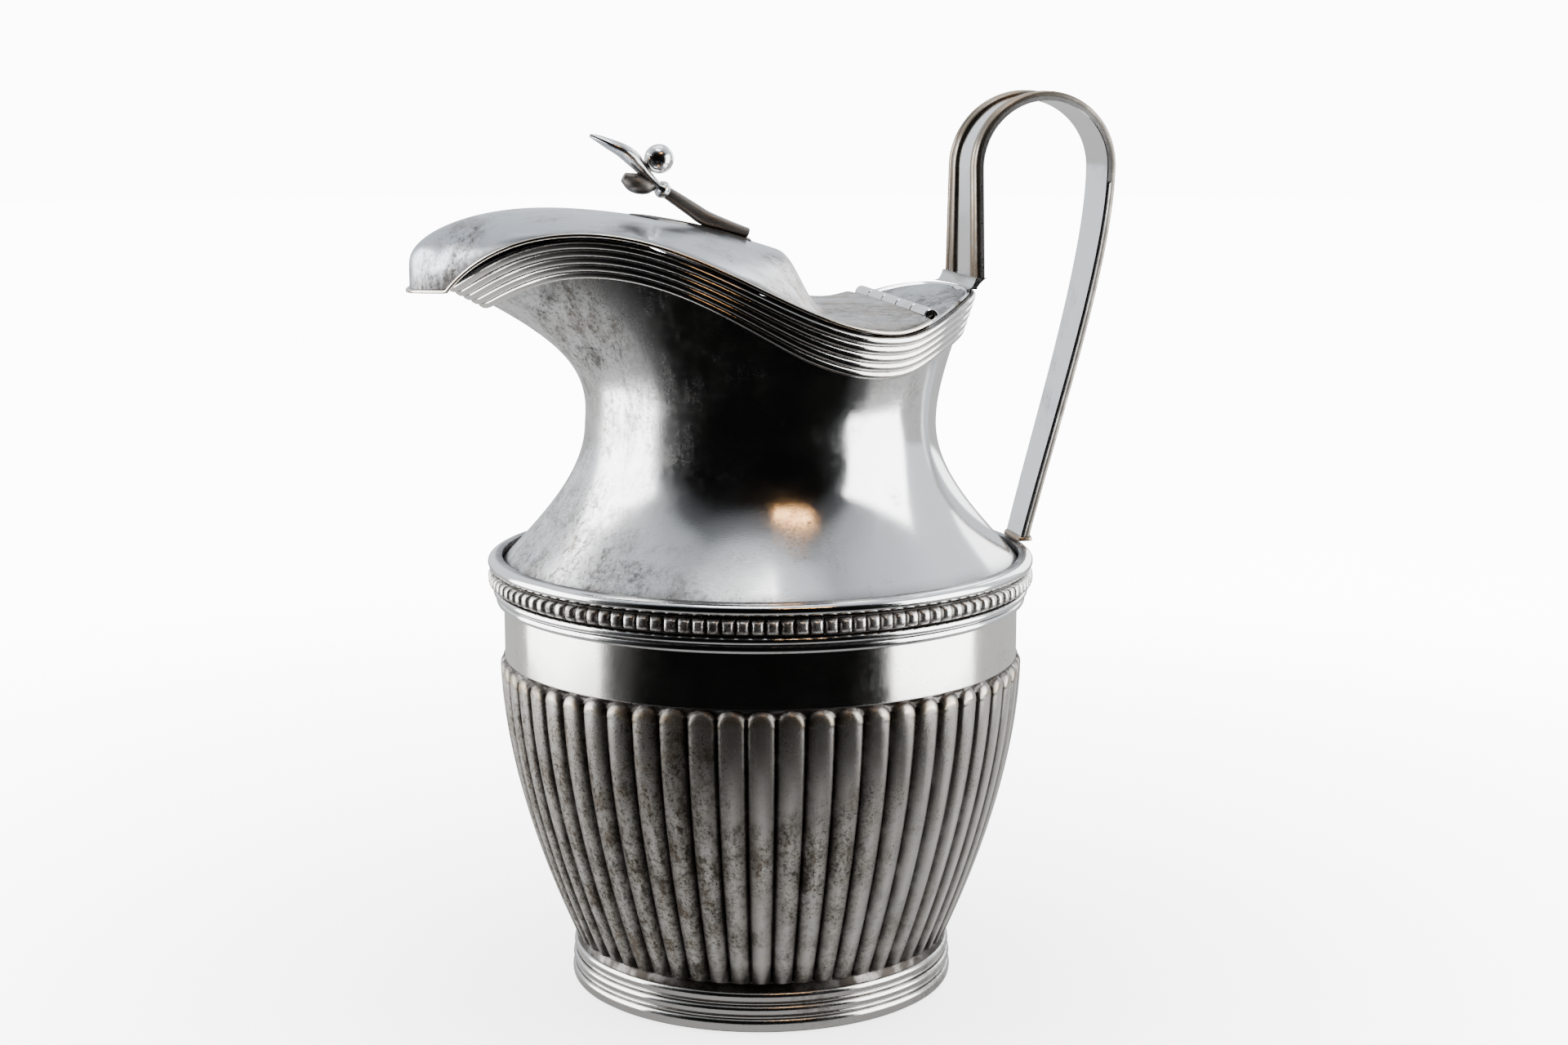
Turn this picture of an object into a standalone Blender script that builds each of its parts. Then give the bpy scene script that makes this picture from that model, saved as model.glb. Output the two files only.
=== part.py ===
"""A lidded silver water pitcher, built up from its separate soldered and hinged pieces.

Metres, +Z up. The spout points along -X and the handle stands at +X. The origin lies under the
middle of the whole object, on the surface that it stands on, so the turned body's own axis is at
BODY_X. Every function below works in the body's frame, with the turned axis at X = 0, and the
empty named pitcher carries the pieces to their place.
"""

import math

import bmesh
import bpy
import numpy as np

# Sheet metal and fits
WALL = 0.0010
FIT_GAP = 0.0003
COLUMNS = 48

# Foot ring, a reeded wire under the bowl
FOOT_HEIGHT = 0.0125
FOOT_RADIUS = 0.0506
FOOT_RING_WIDTH = 0.0042
FOOT_REED_DEPTH = 0.0009

# Bowl: convex flutes below, a plain band above
BOWL_FOOT_RADIUS = 0.0497
BOWL_RADIUS = 0.0685
BOWL_FULLNESS = 1.76
FLUTE_COUNT = 58
FLUTE_HEIGHT = 0.0747
FLUTE_DEPTH = 0.0015
FLUTE_HEAD = 0.0030
BAND_STEP = 0.0013
PLAIN_BAND_HEIGHT = 0.0144

# Mouldings round the shoulder seam
LOWER_MOULDING_HEIGHT = 0.0043
LOWER_MOULDING_WIDTH = 0.0024
BEAD_STRIP_HEIGHT = 0.0044
TORUS_HEIGHT = 0.0032
MOULDING_WIDTH = 0.0037

# Shoulder and neck
SHOULDER_DROP = 0.0017
NECK_RISE = 0.0360
NECK_RADIUS = 0.0456

# Mouth: how far it reaches, and its height above the neck
MOUTH_REAR = 0.0560
MOUTH_HALF_WIDTH = 0.0530
SPOUT_REACH = 0.0815
NOSE_SLIMNESS = 0.72
RIM_TIP_RISE = 0.0370
RIM_CREST_RISE = 0.0498
RIM_DIP_RISE = 0.0260
RIM_ROOT_RISE = 0.0338
RIM_CREST_ANGLE = math.radians(129)
RIM_DIP_SHARE = 0.45

# Reeded band round the mouth
RIM_BAND_WIDTH = 0.0110
RIM_BAND_THICKNESS = 0.0014
RIM_BAND_REEDS = 5
RIM_REED_DEPTH = 0.0006

# Lid
BEAK_REACH = 0.0908
LID_HALF_WIDTH = 0.0525
LID_SEAT_GAP = 0.0003
LID_FRONT_LIFT = 0.0005
BEAK_TIP_DROP = 0.0014
BEAK_LIP_TURN = math.radians(25)
BEAK_LIP_RISE = 0.0012
DOME_RISE = 0.0037
BEAK_BLUNTNESS = 0.0065
DOME_FALL = 0.0109
DOME_APEX_SHARE = 0.63
DOME_BACK_X = 0.0040
DOME_BACK_LENGTH = 0.0110
DOME_BACK_BOW = 0.0160
LID_WIRE_RADIUS = 0.0005

# Hinge
HINGE_X = 0.0360
HINGE_RISE = 0.0013
KNUCKLE_RADIUS = 0.0019
KNUCKLE_COUNT = 5
KNUCKLE_END_GAP = 0.0004
PIN_RADIUS = 0.00078
PIN_CLEARANCE = 0.00007
PIN_RECESS = 0.0015
PIN_SIDES = 24

# Handle
HANDLE_WIDTH_ROOT = 0.0290
HANDLE_WIDTH_LOOP = 0.0170
HANDLE_WIDTH_FOOT = 0.0125
STRAP_THICKNESS = 0.0014
BORDER_HEIGHT = 0.0008
BORDER_SHARE = 0.24
LEG_SETBACK = 0.0001
SOCKET_HEIGHT = 0.0032
SOCKET_FOOT = 0.0028
LEG_HEIGHT = 0.0275
LOOP_RADIUS = 0.01735
FOOT_PAD_HEIGHT = 0.0014
FOOT_PAD_LENGTH = 0.0040

# Thumbpiece
THUMB_BASE_LENGTH = 0.0306
THUMB_BASE_WIDTH = 0.0110
THUMB_BASE_THICKNESS = 0.0008
THUMB_BASE_BACK_X = -0.0034
THUMB_FOOT_LENGTH = 0.0098
THUMB_BALL_RADIUS = 0.0034

# Heights that follow from the sizes above
BOWL_BOTTOM = FOOT_HEIGHT + FIT_GAP
FLUTE_TOP = BOWL_BOTTOM + FLUTE_HEIGHT
PLAIN_TOP = FLUTE_TOP + PLAIN_BAND_HEIGHT
SEAM = PLAIN_TOP + LOWER_MOULDING_HEIGHT
BEAD_BOTTOM = SEAM + FIT_GAP
TORUS_BOTTOM = BEAD_BOTTOM + BEAD_STRIP_HEIGHT + FIT_GAP
TORUS_TOP = TORUS_BOTTOM + TORUS_HEIGHT
SHOULDER = TORUS_TOP - SHOULDER_DROP
NECK = SHOULDER + NECK_RISE
RIM_TIP = NECK + RIM_TIP_RISE
RIM_CREST = NECK + RIM_CREST_RISE
RIM_DIP = NECK + RIM_DIP_RISE
RIM_ROOT = NECK + RIM_ROOT_RISE

# Radii and places that follow
PLAIN_RADIUS = BOWL_RADIUS - BAND_STEP
MOULDING_INNER = PLAIN_RADIUS + FIT_GAP
SKIN = RIM_BAND_THICKNESS + FIT_GAP
RIM_CREST_X = SPOUT_REACH * math.cos(RIM_CREST_ANGLE)
RIM_DIP_X = MOUTH_REAR * RIM_DIP_SHARE
HANDLE_THICKNESS = STRAP_THICKNESS + FIT_GAP + BORDER_HEIGHT
LEG_X = MOUTH_REAR + LEG_SETBACK
LOOP_X = LEG_X + LOOP_RADIUS
LOOP_Z = RIM_ROOT + SOCKET_HEIGHT + LEG_HEIGHT
HANDLE_REACH = LOOP_X + LOOP_RADIUS + HANDLE_THICKNESS
BODY_X = (BEAK_REACH - HANDLE_REACH) / 2

SILVER = (0.78, 0.77, 0.74)
WORN_SILVER = (0.62, 0.60, 0.56)
DARK_SILVER = (0.46, 0.44, 0.41)
WARM_SILVER = (0.74, 0.68, 0.58)


def clear_scene():
    for thing in list(bpy.data.objects):
        bpy.data.objects.remove(thing, do_unlink=True)


def silver(name, colour, roughness):
    material = bpy.data.materials.new(name)
    material.use_nodes = True
    shader = material.node_tree.nodes["Principled BSDF"]
    shader.inputs["Base Color"].default_value = (*colour, 1)
    shader.inputs["Metallic"].default_value = 1
    shader.inputs["Roughness"].default_value = roughness
    return material


def empty_at(name, place, parent=None):
    holder = bpy.data.objects.new(name, None)
    holder.location = place
    holder.parent = parent
    bpy.context.scene.collection.objects.link(holder)
    return holder


def solid(name, points, faces, parent, colour=SILVER, roughness=0.2, origin=(0, 0, 0)):
    """A closed mesh object; its points are in the body's frame and its own origin is given."""
    mesh = bpy.data.meshes.new(name)
    shifted = [tuple(np.subtract(point, origin)) for point in points]
    mesh.from_pydata(shifted, [], faces)
    work = bmesh.new()
    work.from_mesh(mesh)
    bmesh.ops.remove_doubles(work, verts=work.verts, dist=1e-7)
    bmesh.ops.dissolve_degenerate(work, edges=work.edges, dist=1e-7)
    bmesh.ops.recalc_face_normals(work, faces=work.faces)
    if work.calc_volume(signed=True) < 0:
        bmesh.ops.reverse_faces(work, faces=work.faces)
    work.to_mesh(mesh)
    work.free()
    mesh.shade_smooth()
    mesh.set_sharp_from_angle(angle=math.radians(35))
    thing = bpy.data.objects.new(name, mesh)
    mesh.materials.append(silver(name, colour, roughness))
    bpy.context.scene.collection.objects.link(thing)
    thing.parent = parent
    return thing


def loft(loops, closed):
    """Points and faces through equal loops of points: closed on itself, or capped at both ends."""
    count = len(loops[0])
    points = [tuple(point) for loop in loops for point in loop]
    faces = []
    for row in range(len(loops) if closed else len(loops) - 1):
        this = row * count
        that = (row + 1) % len(loops) * count
        for step in range(count):
            after = (step + 1) % count
            faces.append((this + step, this + after, that + after, that + step))
    if not closed:
        faces.append(tuple(range(count)))
        faces.append(tuple(range(len(points) - count, len(points))))
    return points, faces


def ease(share):
    """0 to 1 with level ends."""
    return (1 - math.cos(math.pi * min(1.0, max(0.0, share)))) / 2


def bezier(start, first, second, end, share):
    weights = ((1 - share) ** 3, 3 * share * (1 - share) ** 2, 3 * share**2 * (1 - share), share**3)
    corners = np.array((start, first, second, end), float)
    return np.dot(weights, corners)


def column_angles(count=COLUMNS):
    return [math.tau * step / count for step in range(count)]


def turned_ring(radius, height, count=COLUMNS):
    return [(radius * math.cos(a), radius * math.sin(a), height) for a in column_angles(count)]


def turned(profile, count=COLUMNS):
    """A ring-shaped solid from a closed profile of (radius, height) points."""
    return loft([turned_ring(radius, height, count) for radius, height in profile], True)


def offset_rows(rows, distance):
    """Rows of a surface that runs round the axis, each point moved out along its normal."""
    grid = np.array(rows, float)
    round_it = np.roll(grid, -1, axis=1) - np.roll(grid, 1, axis=1)
    up_it = np.gradient(grid, axis=0)
    normal = np.cross(round_it, up_it)
    normal /= np.linalg.norm(normal, axis=2, keepdims=True)
    steps = np.asarray(distance, float).reshape(-1, 1, 1)
    return grid + normal * steps


# ---------------------------------------------------------------- foot and bowl


def bowl_radius(height):
    """Outer radius over the flutes, from the foot up to the flute heads."""
    share = min(1.0, max(0.0, (FLUTE_TOP - height) / FLUTE_HEIGHT))
    return BOWL_RADIUS - (BOWL_RADIUS - BOWL_FOOT_RADIUS) * share**BOWL_FULLNESS


def make_foot_ring(parent):
    reed_tops = ((0.30, 0.0002), (0.55, 0.0003), (0.82, 0.0006))
    outer = [(FOOT_RADIUS, 0), (FOOT_RADIUS, 0.20 * FOOT_HEIGHT)]
    for share, inset in reed_tops:
        valley = FOOT_RADIUS - inset - FOOT_REED_DEPTH
        outer.append((valley, (share - 0.07) * FOOT_HEIGHT))
        outer.append((FOOT_RADIUS - inset, share * FOOT_HEIGHT))
    outer.append((BOWL_FOOT_RADIUS - 0.0006, FOOT_HEIGHT))
    inner_radius = FOOT_RADIUS - FOOT_RING_WIDTH
    inner = [(inner_radius, FOOT_HEIGHT), (inner_radius, 0)]
    points, faces = turned(outer + inner)
    return solid("foot_ring", points, faces, parent, WORN_SILVER, 0.25)


def make_base_disc(parent):
    """The let-in bottom, a shallow dish sprung up at its middle."""
    edge = bowl_radius(BOWL_BOTTOM) - FLUTE_DEPTH - WALL - 2 * FIT_GAP
    crown = 0.0015
    shares = (1.0, 0.6, 0.25)
    top = [(edge * s, BOWL_BOTTOM + WALL + crown * (1 - s * s)) for s in shares]
    under = [(radius, height - WALL) for radius, height in reversed(top)]
    loops = [turned_ring(radius, height) for radius, height in top + under]
    count = COLUMNS
    points, faces = loft(loops, True)
    middle = (len(top) - 1) * count
    faces = [f for f in faces if not (min(f) >= middle and max(f) < middle + 2 * count)]
    faces.append(tuple(range(middle, middle + count)))
    faces.append(tuple(range(middle + count, middle + 2 * count)))
    return solid("base_disc", points, faces, parent, DARK_SILVER, 0.4)


def make_fluted_bowl(parent):
    """Convex flutes chased into the lower wall, each two columns wide, under a plain band."""
    count = 2 * FLUTE_COUNT
    heights = [BOWL_BOTTOM + (FLUTE_HEIGHT - FLUTE_HEAD) * step / 5 for step in range(6)]
    outer = []
    for height in heights:
        crest = bowl_radius(height)
        loop = turned_ring(1, height, count)
        for column, (x, y, z) in enumerate(loop):
            radius = crest if column % 2 else crest - FLUTE_DEPTH
            loop[column] = (x * radius, y * radius, z)
        outer.append(loop)
    outer.append(turned_ring(PLAIN_RADIUS, FLUTE_TOP, count))
    outer.append(turned_ring(PLAIN_RADIUS, SEAM, count))
    inner = [turned_ring(PLAIN_RADIUS - WALL, SEAM, count)]
    for height in reversed(heights):
        under = min(bowl_radius(height) - FLUTE_DEPTH, PLAIN_RADIUS) - WALL
        inner.append(turned_ring(under, height, count))
    points, faces = loft(outer + inner, True)
    return solid("fluted_bowl", points, faces, parent, WORN_SILVER, 0.3)


# ---------------------------------------------------------------- shoulder mouldings


def half_round(bottom, height, width, steps=6):
    """A half-round wire's profile, its flat back on the body."""
    profile = [(MOULDING_INNER, bottom + height), (MOULDING_INNER, bottom)]
    flat = 0.5 * width
    for step in range(steps + 1):
        turn = math.pi * (step / steps - 0.5)
        reach = MOULDING_INNER + flat + (width - flat) * math.cos(turn)
        profile.append((reach, bottom + height * (1 + math.sin(turn)) / 2))
    return profile


def make_mouldings(parent):
    rise = LOWER_MOULDING_HEIGHT
    lip = MOULDING_INNER + LOWER_MOULDING_WIDTH
    lower = [
        (MOULDING_INNER, SEAM),
        (MOULDING_INNER, PLAIN_TOP),
        (lip - 0.0016, PLAIN_TOP),
        (lip - 0.0008, PLAIN_TOP + 0.25 * rise),
        (lip - 0.0007, PLAIN_TOP + 0.50 * rise),
        (lip, PLAIN_TOP + 0.75 * rise),
        (lip, SEAM),
    ]
    points, faces = turned(lower)
    solid("lower_moulding", points, faces, parent, SILVER, 0.25)
    points, faces = turned(half_round(BEAD_BOTTOM, BEAD_STRIP_HEIGHT, MOULDING_WIDTH))
    solid("bead_strip", points, faces, parent, WORN_SILVER, 0.3)
    points, faces = turned(half_round(TORUS_BOTTOM, TORUS_HEIGHT, MOULDING_WIDTH))
    solid("shoulder_torus", points, faces, parent, SILVER, 0.2)


# ---------------------------------------------------------------- upper body and rim


def mouth_plan(angle, inset=0.0):
    """The mouth seen from above: half an ellipse behind, drawn out to a slim nose in front."""
    reach = (MOUTH_REAR if math.cos(angle) > 0 else SPOUT_REACH) - inset
    across = math.sin(angle)
    slim = 1.0
    if math.cos(angle) < 0:
        slim = NOSE_SLIMNESS + (1 - NOSE_SLIMNESS) * across**2
    return reach * math.cos(angle), (MOUTH_HALF_WIDTH - inset) * across * slim


def rim_height(angle):
    """Height of the mouth's edge: low at the sides, swept up over the spout and to the handle."""
    turn = abs(math.remainder(angle, math.tau))
    if turn > RIM_CREST_ANGLE:
        share = (math.pi - turn) / (math.pi - RIM_CREST_ANGLE)
        return RIM_TIP + (RIM_CREST - RIM_TIP) * ease(share)
    return rim_height_at(mouth_plan(turn)[0])


def rim_height_at(x):
    if x < RIM_DIP_X:
        share = (x - RIM_CREST_X) / (RIM_DIP_X - RIM_CREST_X)
        return RIM_CREST + (RIM_DIP - RIM_CREST) * ease(share)
    share = (x - RIM_DIP_X) / (MOUTH_REAR - RIM_DIP_X)
    return RIM_DIP + (RIM_ROOT - RIM_DIP) * ease(share)


def flare_curve(angle, inset=0.0):
    """The four control points of the wall's curve from the neck up to the rim, at one column."""
    across = (math.cos(angle), math.sin(angle))
    neck = np.array((NECK_RADIUS * across[0], NECK_RADIUS * across[1], NECK))
    rim = np.array((*mouth_plan(angle, SKIN + inset), rim_height(angle)))
    forward = max(0.0, -across[0]) ** 2
    rise = rim[2] - neck[2]
    out = rim[:2] - neck[:2]
    low = neck + np.array((*(-0.06 * forward * out), rise * (0.30 + 0.13 * forward)))
    high = np.array((*(neck[:2] + out * (0.55 - 0.27 * forward)), neck[2] + rise * (0.62 + 0.03 * forward)))
    return neck, low, high, rim


def point_below_rim(curve, distance):
    """The point of the wall's curve at this distance below the rim, measured along the wall."""
    steps = 60
    line = np.array([bezier(*curve, 1 - step / steps) for step in range(steps + 1)])
    lengths = np.concatenate(([0], np.cumsum(np.linalg.norm(np.diff(line, axis=0), axis=1))))
    return [np.interp(distance, lengths, line[:, axis]) for axis in range(3)]


def rows_below_rim(distances):
    """Rows of the outer wall at these distances below the rim, lowest first."""
    curves = [flare_curve(angle) for angle in column_angles()]
    return [[point_below_rim(curve, distance) for curve in curves] for distance in distances]


BAND_SHARES = (1, 2 / 3, 1 / 3, 0)


def upper_body_rows():
    """Rows of the outer face, from the collar inside the mouldings up to the rim."""
    collar = PLAIN_RADIUS
    rows = [turned_ring(collar, SEAM + FIT_GAP), turned_ring(collar, SHOULDER)]
    run = collar - NECK_RADIUS
    for step in range(1, 7):
        radius, height = bezier(
            (collar, SHOULDER),
            (collar - 0.51 * run, SHOULDER + 0.33 * NECK_RISE),
            (NECK_RADIUS, SHOULDER + 0.64 * NECK_RISE),
            (NECK_RADIUS, NECK),
            step / 6,
        )
        rows.append(turned_ring(radius, height))
    curves = [flare_curve(angle) for angle in column_angles()]
    for share in (1 / 6, 1 / 3, 1 / 2, 2 / 3, 5 / 6):
        row = []
        for curve in curves:
            line = [bezier(*curve, step / 20) for step in range(21)]
            length = sum(np.linalg.norm(b - a) for a, b in zip(line, line[1:]))
            row.append(point_below_rim(curve, length - share * (length - RIM_BAND_WIDTH)))
        rows.append(row)
    rows += rows_below_rim([RIM_BAND_WIDTH * share for share in BAND_SHARES])
    return rows


def make_upper_body(parent):
    outer = upper_body_rows()
    inner = offset_rows(outer, [-WALL] * len(outer))
    inner[-1, :, 2] = np.array(outer[-1])[:, 2]
    level = [np.array(outer[0]) * (1 - WALL / PLAIN_RADIUS, 1 - WALL / PLAIN_RADIUS, 1)]
    loops = list(outer) + list(inner[:0:-1]) + level
    points, faces = loft(loops, True)
    return solid("upper_body", points, faces, parent, SILVER, 0.12)


def make_rim_band(parent):
    """The reeded strip soldered round the outside of the mouth."""
    distances = []
    heights = []
    steps = 2 * RIM_BAND_REEDS
    for step in range(steps + 1):
        distances.append(RIM_BAND_WIDTH * (1 - step / steps))
        heights.append(SKIN if step % 2 else SKIN - RIM_REED_DEPTH)
    outer = offset_rows(rows_below_rim(distances), heights)
    shares = [RIM_BAND_WIDTH * share for share in BAND_SHARES]
    inner = offset_rows(rows_below_rim(shares), [FIT_GAP] * len(shares))
    points, faces = loft(list(outer) + list(inner[::-1]), True)
    return solid("rim_band", points, faces, parent, WORN_SILVER, 0.3)


# ---------------------------------------------------------------- hinge


HINGE_Z = rim_height_at(HINGE_X) + HINGE_RISE
MOUTH_INSIDE = SKIN + WALL + FIT_GAP


def mouth_half_width_at(x, inset):
    reach = MOUTH_REAR - inset
    return (MOUTH_HALF_WIDTH - inset) * math.sqrt(max(0.0, 1 - (x / reach) ** 2))


HINGE_HALF_LENGTH = mouth_half_width_at(HINGE_X + KNUCKLE_RADIUS, MOUTH_INSIDE) - FIT_GAP


def tube(inner_radius, outer_radius, start, end):
    """A knuckle along Y on the hinge line; with no inner radius, a plain pin."""
    def circle(radius, y):
        turns = [math.tau * (step + 0.5) / PIN_SIDES for step in range(PIN_SIDES)]
        return [(HINGE_X + radius * math.cos(t), y, HINGE_Z + radius * math.sin(t)) for t in turns]

    if not inner_radius:
        return loft([circle(outer_radius, start), circle(outer_radius, end)], False)
    ends = ((outer_radius, start), (outer_radius, end), (inner_radius, end), (inner_radius, start))
    return loft([circle(radius, y) for radius, y in ends], True)


def make_hinge(body, lid):
    """Knuckles turn about on the body and on the lid, on one pin recessed at both ends."""
    pitch = 2 * HINGE_HALF_LENGTH / KNUCKLE_COUNT
    bore = PIN_RADIUS + PIN_CLEARANCE
    for number in range(KNUCKLE_COUNT):
        start = -HINGE_HALF_LENGTH + number * pitch + KNUCKLE_END_GAP / 2
        end = start + pitch - KNUCKLE_END_GAP
        points, faces = tube(bore, KNUCKLE_RADIUS, start, end)
        on_lid = number % 2
        name = f"{'lid' if on_lid else 'body'}_knuckle_{number // 2 + 1}"
        origin = (HINGE_X, 0, HINGE_Z) if on_lid else (0, 0, 0)
        solid(name, points, faces, lid if on_lid else body, SILVER, 0.3, origin)
    reach = HINGE_HALF_LENGTH - PIN_RECESS
    points, faces = tube(0, PIN_RADIUS, -reach, reach)
    solid("hinge_pin", points, faces, body, DARK_SILVER, 0.4)


def make_rear_plate(parent):
    """The fixed plate that fills the mouth behind the hinge, level with the rim."""
    inset = MOUTH_INSIDE + FIT_GAP
    front = HINGE_X + KNUCKLE_RADIUS + FIT_GAP
    back = MOUTH_REAR - inset - FIT_GAP
    loops = []
    stations = 10
    for station in range(stations + 1):
        x = front + (back - front) * math.sin(math.pi / 2 * station / stations) ** 0.9
        half = max(0.0015, mouth_half_width_at(x, inset) - FIT_GAP)
        top = rim_height_at(x)
        under = top - WALL
        tuck = 0.6 * WALL
        loop = [(x, half * share, top) for share in (-1, -0.5, 0, 0.5, 1)]
        loop += [(x, (half - tuck) * share, under) for share in (1, 0.5, 0, -0.5, -1)]
        loops.append(loop)
    points, faces = loft(loops, False)
    return solid("rear_plate", points, faces, parent, SILVER, 0.2)


# ---------------------------------------------------------------- lid


LID_WIRE_ROOM = 2 * LID_WIRE_RADIUS + FIT_GAP
LID_BACK_X = HINGE_X - KNUCKLE_RADIUS - FIT_GAP
LID_PLATE_Z = HINGE_Z + WALL / 2
LID_OVER_RIM = LID_SEAT_GAP + WALL
LID_CREST = RIM_CREST + LID_OVER_RIM + LID_FRONT_LIFT
LID_TIP = RIM_TIP - BEAK_TIP_DROP
DOME_TOP = LID_CREST + DOME_RISE
DOME_APEX_X = -BEAK_REACH * DOME_APEX_SHARE


def lid_half_width(x, inset=LID_WIRE_ROOM):
    reach = BEAK_REACH - inset if x < 0 else MOUTH_REAR - inset
    across = math.sqrt(max(0.0, 1 - (x / reach) ** 2))
    slim = NOSE_SLIMNESS + (1 - NOSE_SLIMNESS) * across**2 if x < 0 else 1.0
    return (LID_HALF_WIDTH - inset) * across * slim


def lid_edge_height(x):
    """The lid's edge keeps the rim's sweep, a little above it, and is flat along the beak's lip."""
    if x < RIM_CREST_X:
        turn = math.acos(min(1.0, -x / BEAK_REACH))
        if turn < BEAK_LIP_TURN:
            return LID_TIP + BEAK_LIP_RISE * turn / BEAK_LIP_TURN
        crest_turn = math.acos(-RIM_CREST_X / BEAK_REACH)
        share = (turn - BEAK_LIP_TURN) / (crest_turn - BEAK_LIP_TURN)
        return LID_CREST - (LID_CREST - LID_TIP - BEAK_LIP_RISE) * (1 - share) ** 2
    lift = LID_FRONT_LIFT * ease((RIM_DIP_X - x) / (RIM_DIP_X - RIM_CREST_X / 3))
    inner_wall = max(0, x) * MOUTH_REAR / (MOUTH_REAR - SKIN - WALL)
    return max(rim_height_at(x), rim_height_at(inner_wall)) + LID_OVER_RIM + lift


def dome_height(x):
    """The crown line: a blunt drooping beak, a long back, and a steep fall to the hinge plate."""
    if x < DOME_APEX_X:
        nose = BEAK_REACH - LID_WIRE_ROOM
        low = LID_TIP + BEAK_BLUNTNESS
        share = min(1.0, (DOME_APEX_X - x) / (DOME_APEX_X + nose))
        return low + (DOME_TOP - low) * math.sqrt(1 - share**2)
    share = (x - DOME_APEX_X) / (DOME_BACK_X - DOME_APEX_X)
    dome = DOME_TOP - DOME_FALL * share**1.9
    fall = 1 - ease((x - DOME_BACK_X) / DOME_BACK_LENGTH)
    return LID_PLATE_Z + (dome - LID_PLATE_Z) * fall


def lid_height(x, across):
    """Height of the upper face, where across runs from -1 to 1, edge to edge."""
    edge = lid_edge_height(x)
    bowed = x + DOME_BACK_BOW * across**2 if x > DOME_APEX_X else x
    behind = ease((x - DOME_APEX_X) / (DOME_BACK_X - DOME_APEX_X))
    crown = max(dome_height(x + (bowed - x) * behind), edge)
    blunt = 0.4 + 0.35 * ease((x + BEAK_REACH) / (DOME_APEX_X + BEAK_REACH))
    return edge + (crown - edge) * (1 - across * across) ** blunt


def lid_point(x, across):
    return x, lid_half_width(x) * across, lid_height(x, across)


def lid_stations(reach):
    """Stations from the nose to the hinge, close together where the beak turns down."""
    nose = [-reach * math.cos(math.radians(a)) for a in (0, 9, 18, 28, 38, 50)]
    back = [-0.036, -0.018, -0.004, 0.005, 0.0085, 0.012, 0.0155, 0.019, 0.026, LID_BACK_X]
    return nose + back


def make_lid_shell(parent, origin):
    """One raised sheet: the hooded beak, the dome and the flat that meets the hinge."""
    shares = [math.sin(math.pi / 2 * step / 6) for step in range(-6, 7)]
    outside = lid_stations(BEAK_REACH - LID_WIRE_ROOM)
    inside = lid_stations(BEAK_REACH - LID_WIRE_ROOM - WALL)
    loops = []
    for x, under_x in zip(outside, inside):
        top = [(x, lid_half_width(x) * share, lid_height(x, share)) for share in shares]
        half = lid_half_width(under_x, LID_WIRE_ROOM + WALL)
        under = [(under_x, half * share, lid_height(under_x, share) - WALL) for share in shares]
        loops.append(top + under[::-1])
    points, faces = loft(loops, False)
    del faces[-2]
    return solid("lid_shell", points, faces, parent, SILVER, 0.2, origin)


def lid_edge_line():
    """Middle of the wire that borders the lid, from one end of the hinge round the beak."""
    inset = LID_WIRE_RADIUS
    turns = [math.radians(180 - step * 7.5) for step in range(18)]
    line = []
    for turn in turns:
        reach = BEAK_REACH - inset if math.cos(turn) < 0 else MOUTH_REAR - inset
        x = reach * math.cos(turn)
        if x > LID_BACK_X - 0.001:
            break
        line.append((x, lid_half_width(x, inset), lid_edge_height(x) - WALL / 2))
    x = LID_BACK_X
    line.append((x, lid_half_width(x, inset), lid_edge_height(x) - WALL / 2))
    mirrored = [(x, -y, z) for x, y, z in reversed(line[1:])]
    return mirrored + line


def wire(line, radius, sides=6):
    """A round wire along a line of points, capped at both ends."""
    line = np.array(line, float)
    ahead = np.gradient(line, axis=0)
    ahead /= np.linalg.norm(ahead, axis=1, keepdims=True)
    loops = []
    for point, way in zip(line, ahead):
        side = np.cross(way, (0, 0, 1))
        side /= np.linalg.norm(side)
        lift = np.cross(side, way)
        turns = [math.tau * step / sides for step in range(sides)]
        loops.append([point + radius * (math.cos(t) * side + math.sin(t) * lift) for t in turns])
    return loft(loops, False)


def make_lid_wire(parent, origin):
    points, faces = wire(lid_edge_line(), LID_WIRE_RADIUS)
    return solid("lid_wire", points, faces, parent, WARM_SILVER, 0.3, origin)


# ---------------------------------------------------------------- thumbpiece


def swept_strip(line, widths, depths):
    """A strip along a line in the XZ plane: widths across Y, depths at right angles to the line."""
    line = np.array(line, float)
    ahead = np.gradient(line, axis=0)
    ahead /= np.linalg.norm(ahead, axis=1, keepdims=True)
    loops = []
    for (x, z), (run, rise), width, depth in zip(line, ahead, widths, depths):
        dx, dz = -rise * depth / 2, run * depth / 2
        half = width / 2
        loop = [(x + dx * 0.7, -half, z + dz * 0.7), (x + dx, -half * 0.7, z + dz)]
        loop += [(x + dx, half * 0.7, z + dz), (x + dx * 0.7, half, z + dz * 0.7)]
        loop += [(x - dx * 0.7, half, z - dz * 0.7), (x - dx, half * 0.7, z - dz)]
        loop += [(x - dx, -half * 0.7, z - dz), (x - dx * 0.7, -half, z - dz * 0.7)]
        loops.append(loop)
    return loft(loops, False)


def plate_top(x):
    """Height of the base plate's upper face on the crown line."""
    return dome_height(x) + FIT_GAP + THUMB_BASE_THICKNESS


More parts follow.
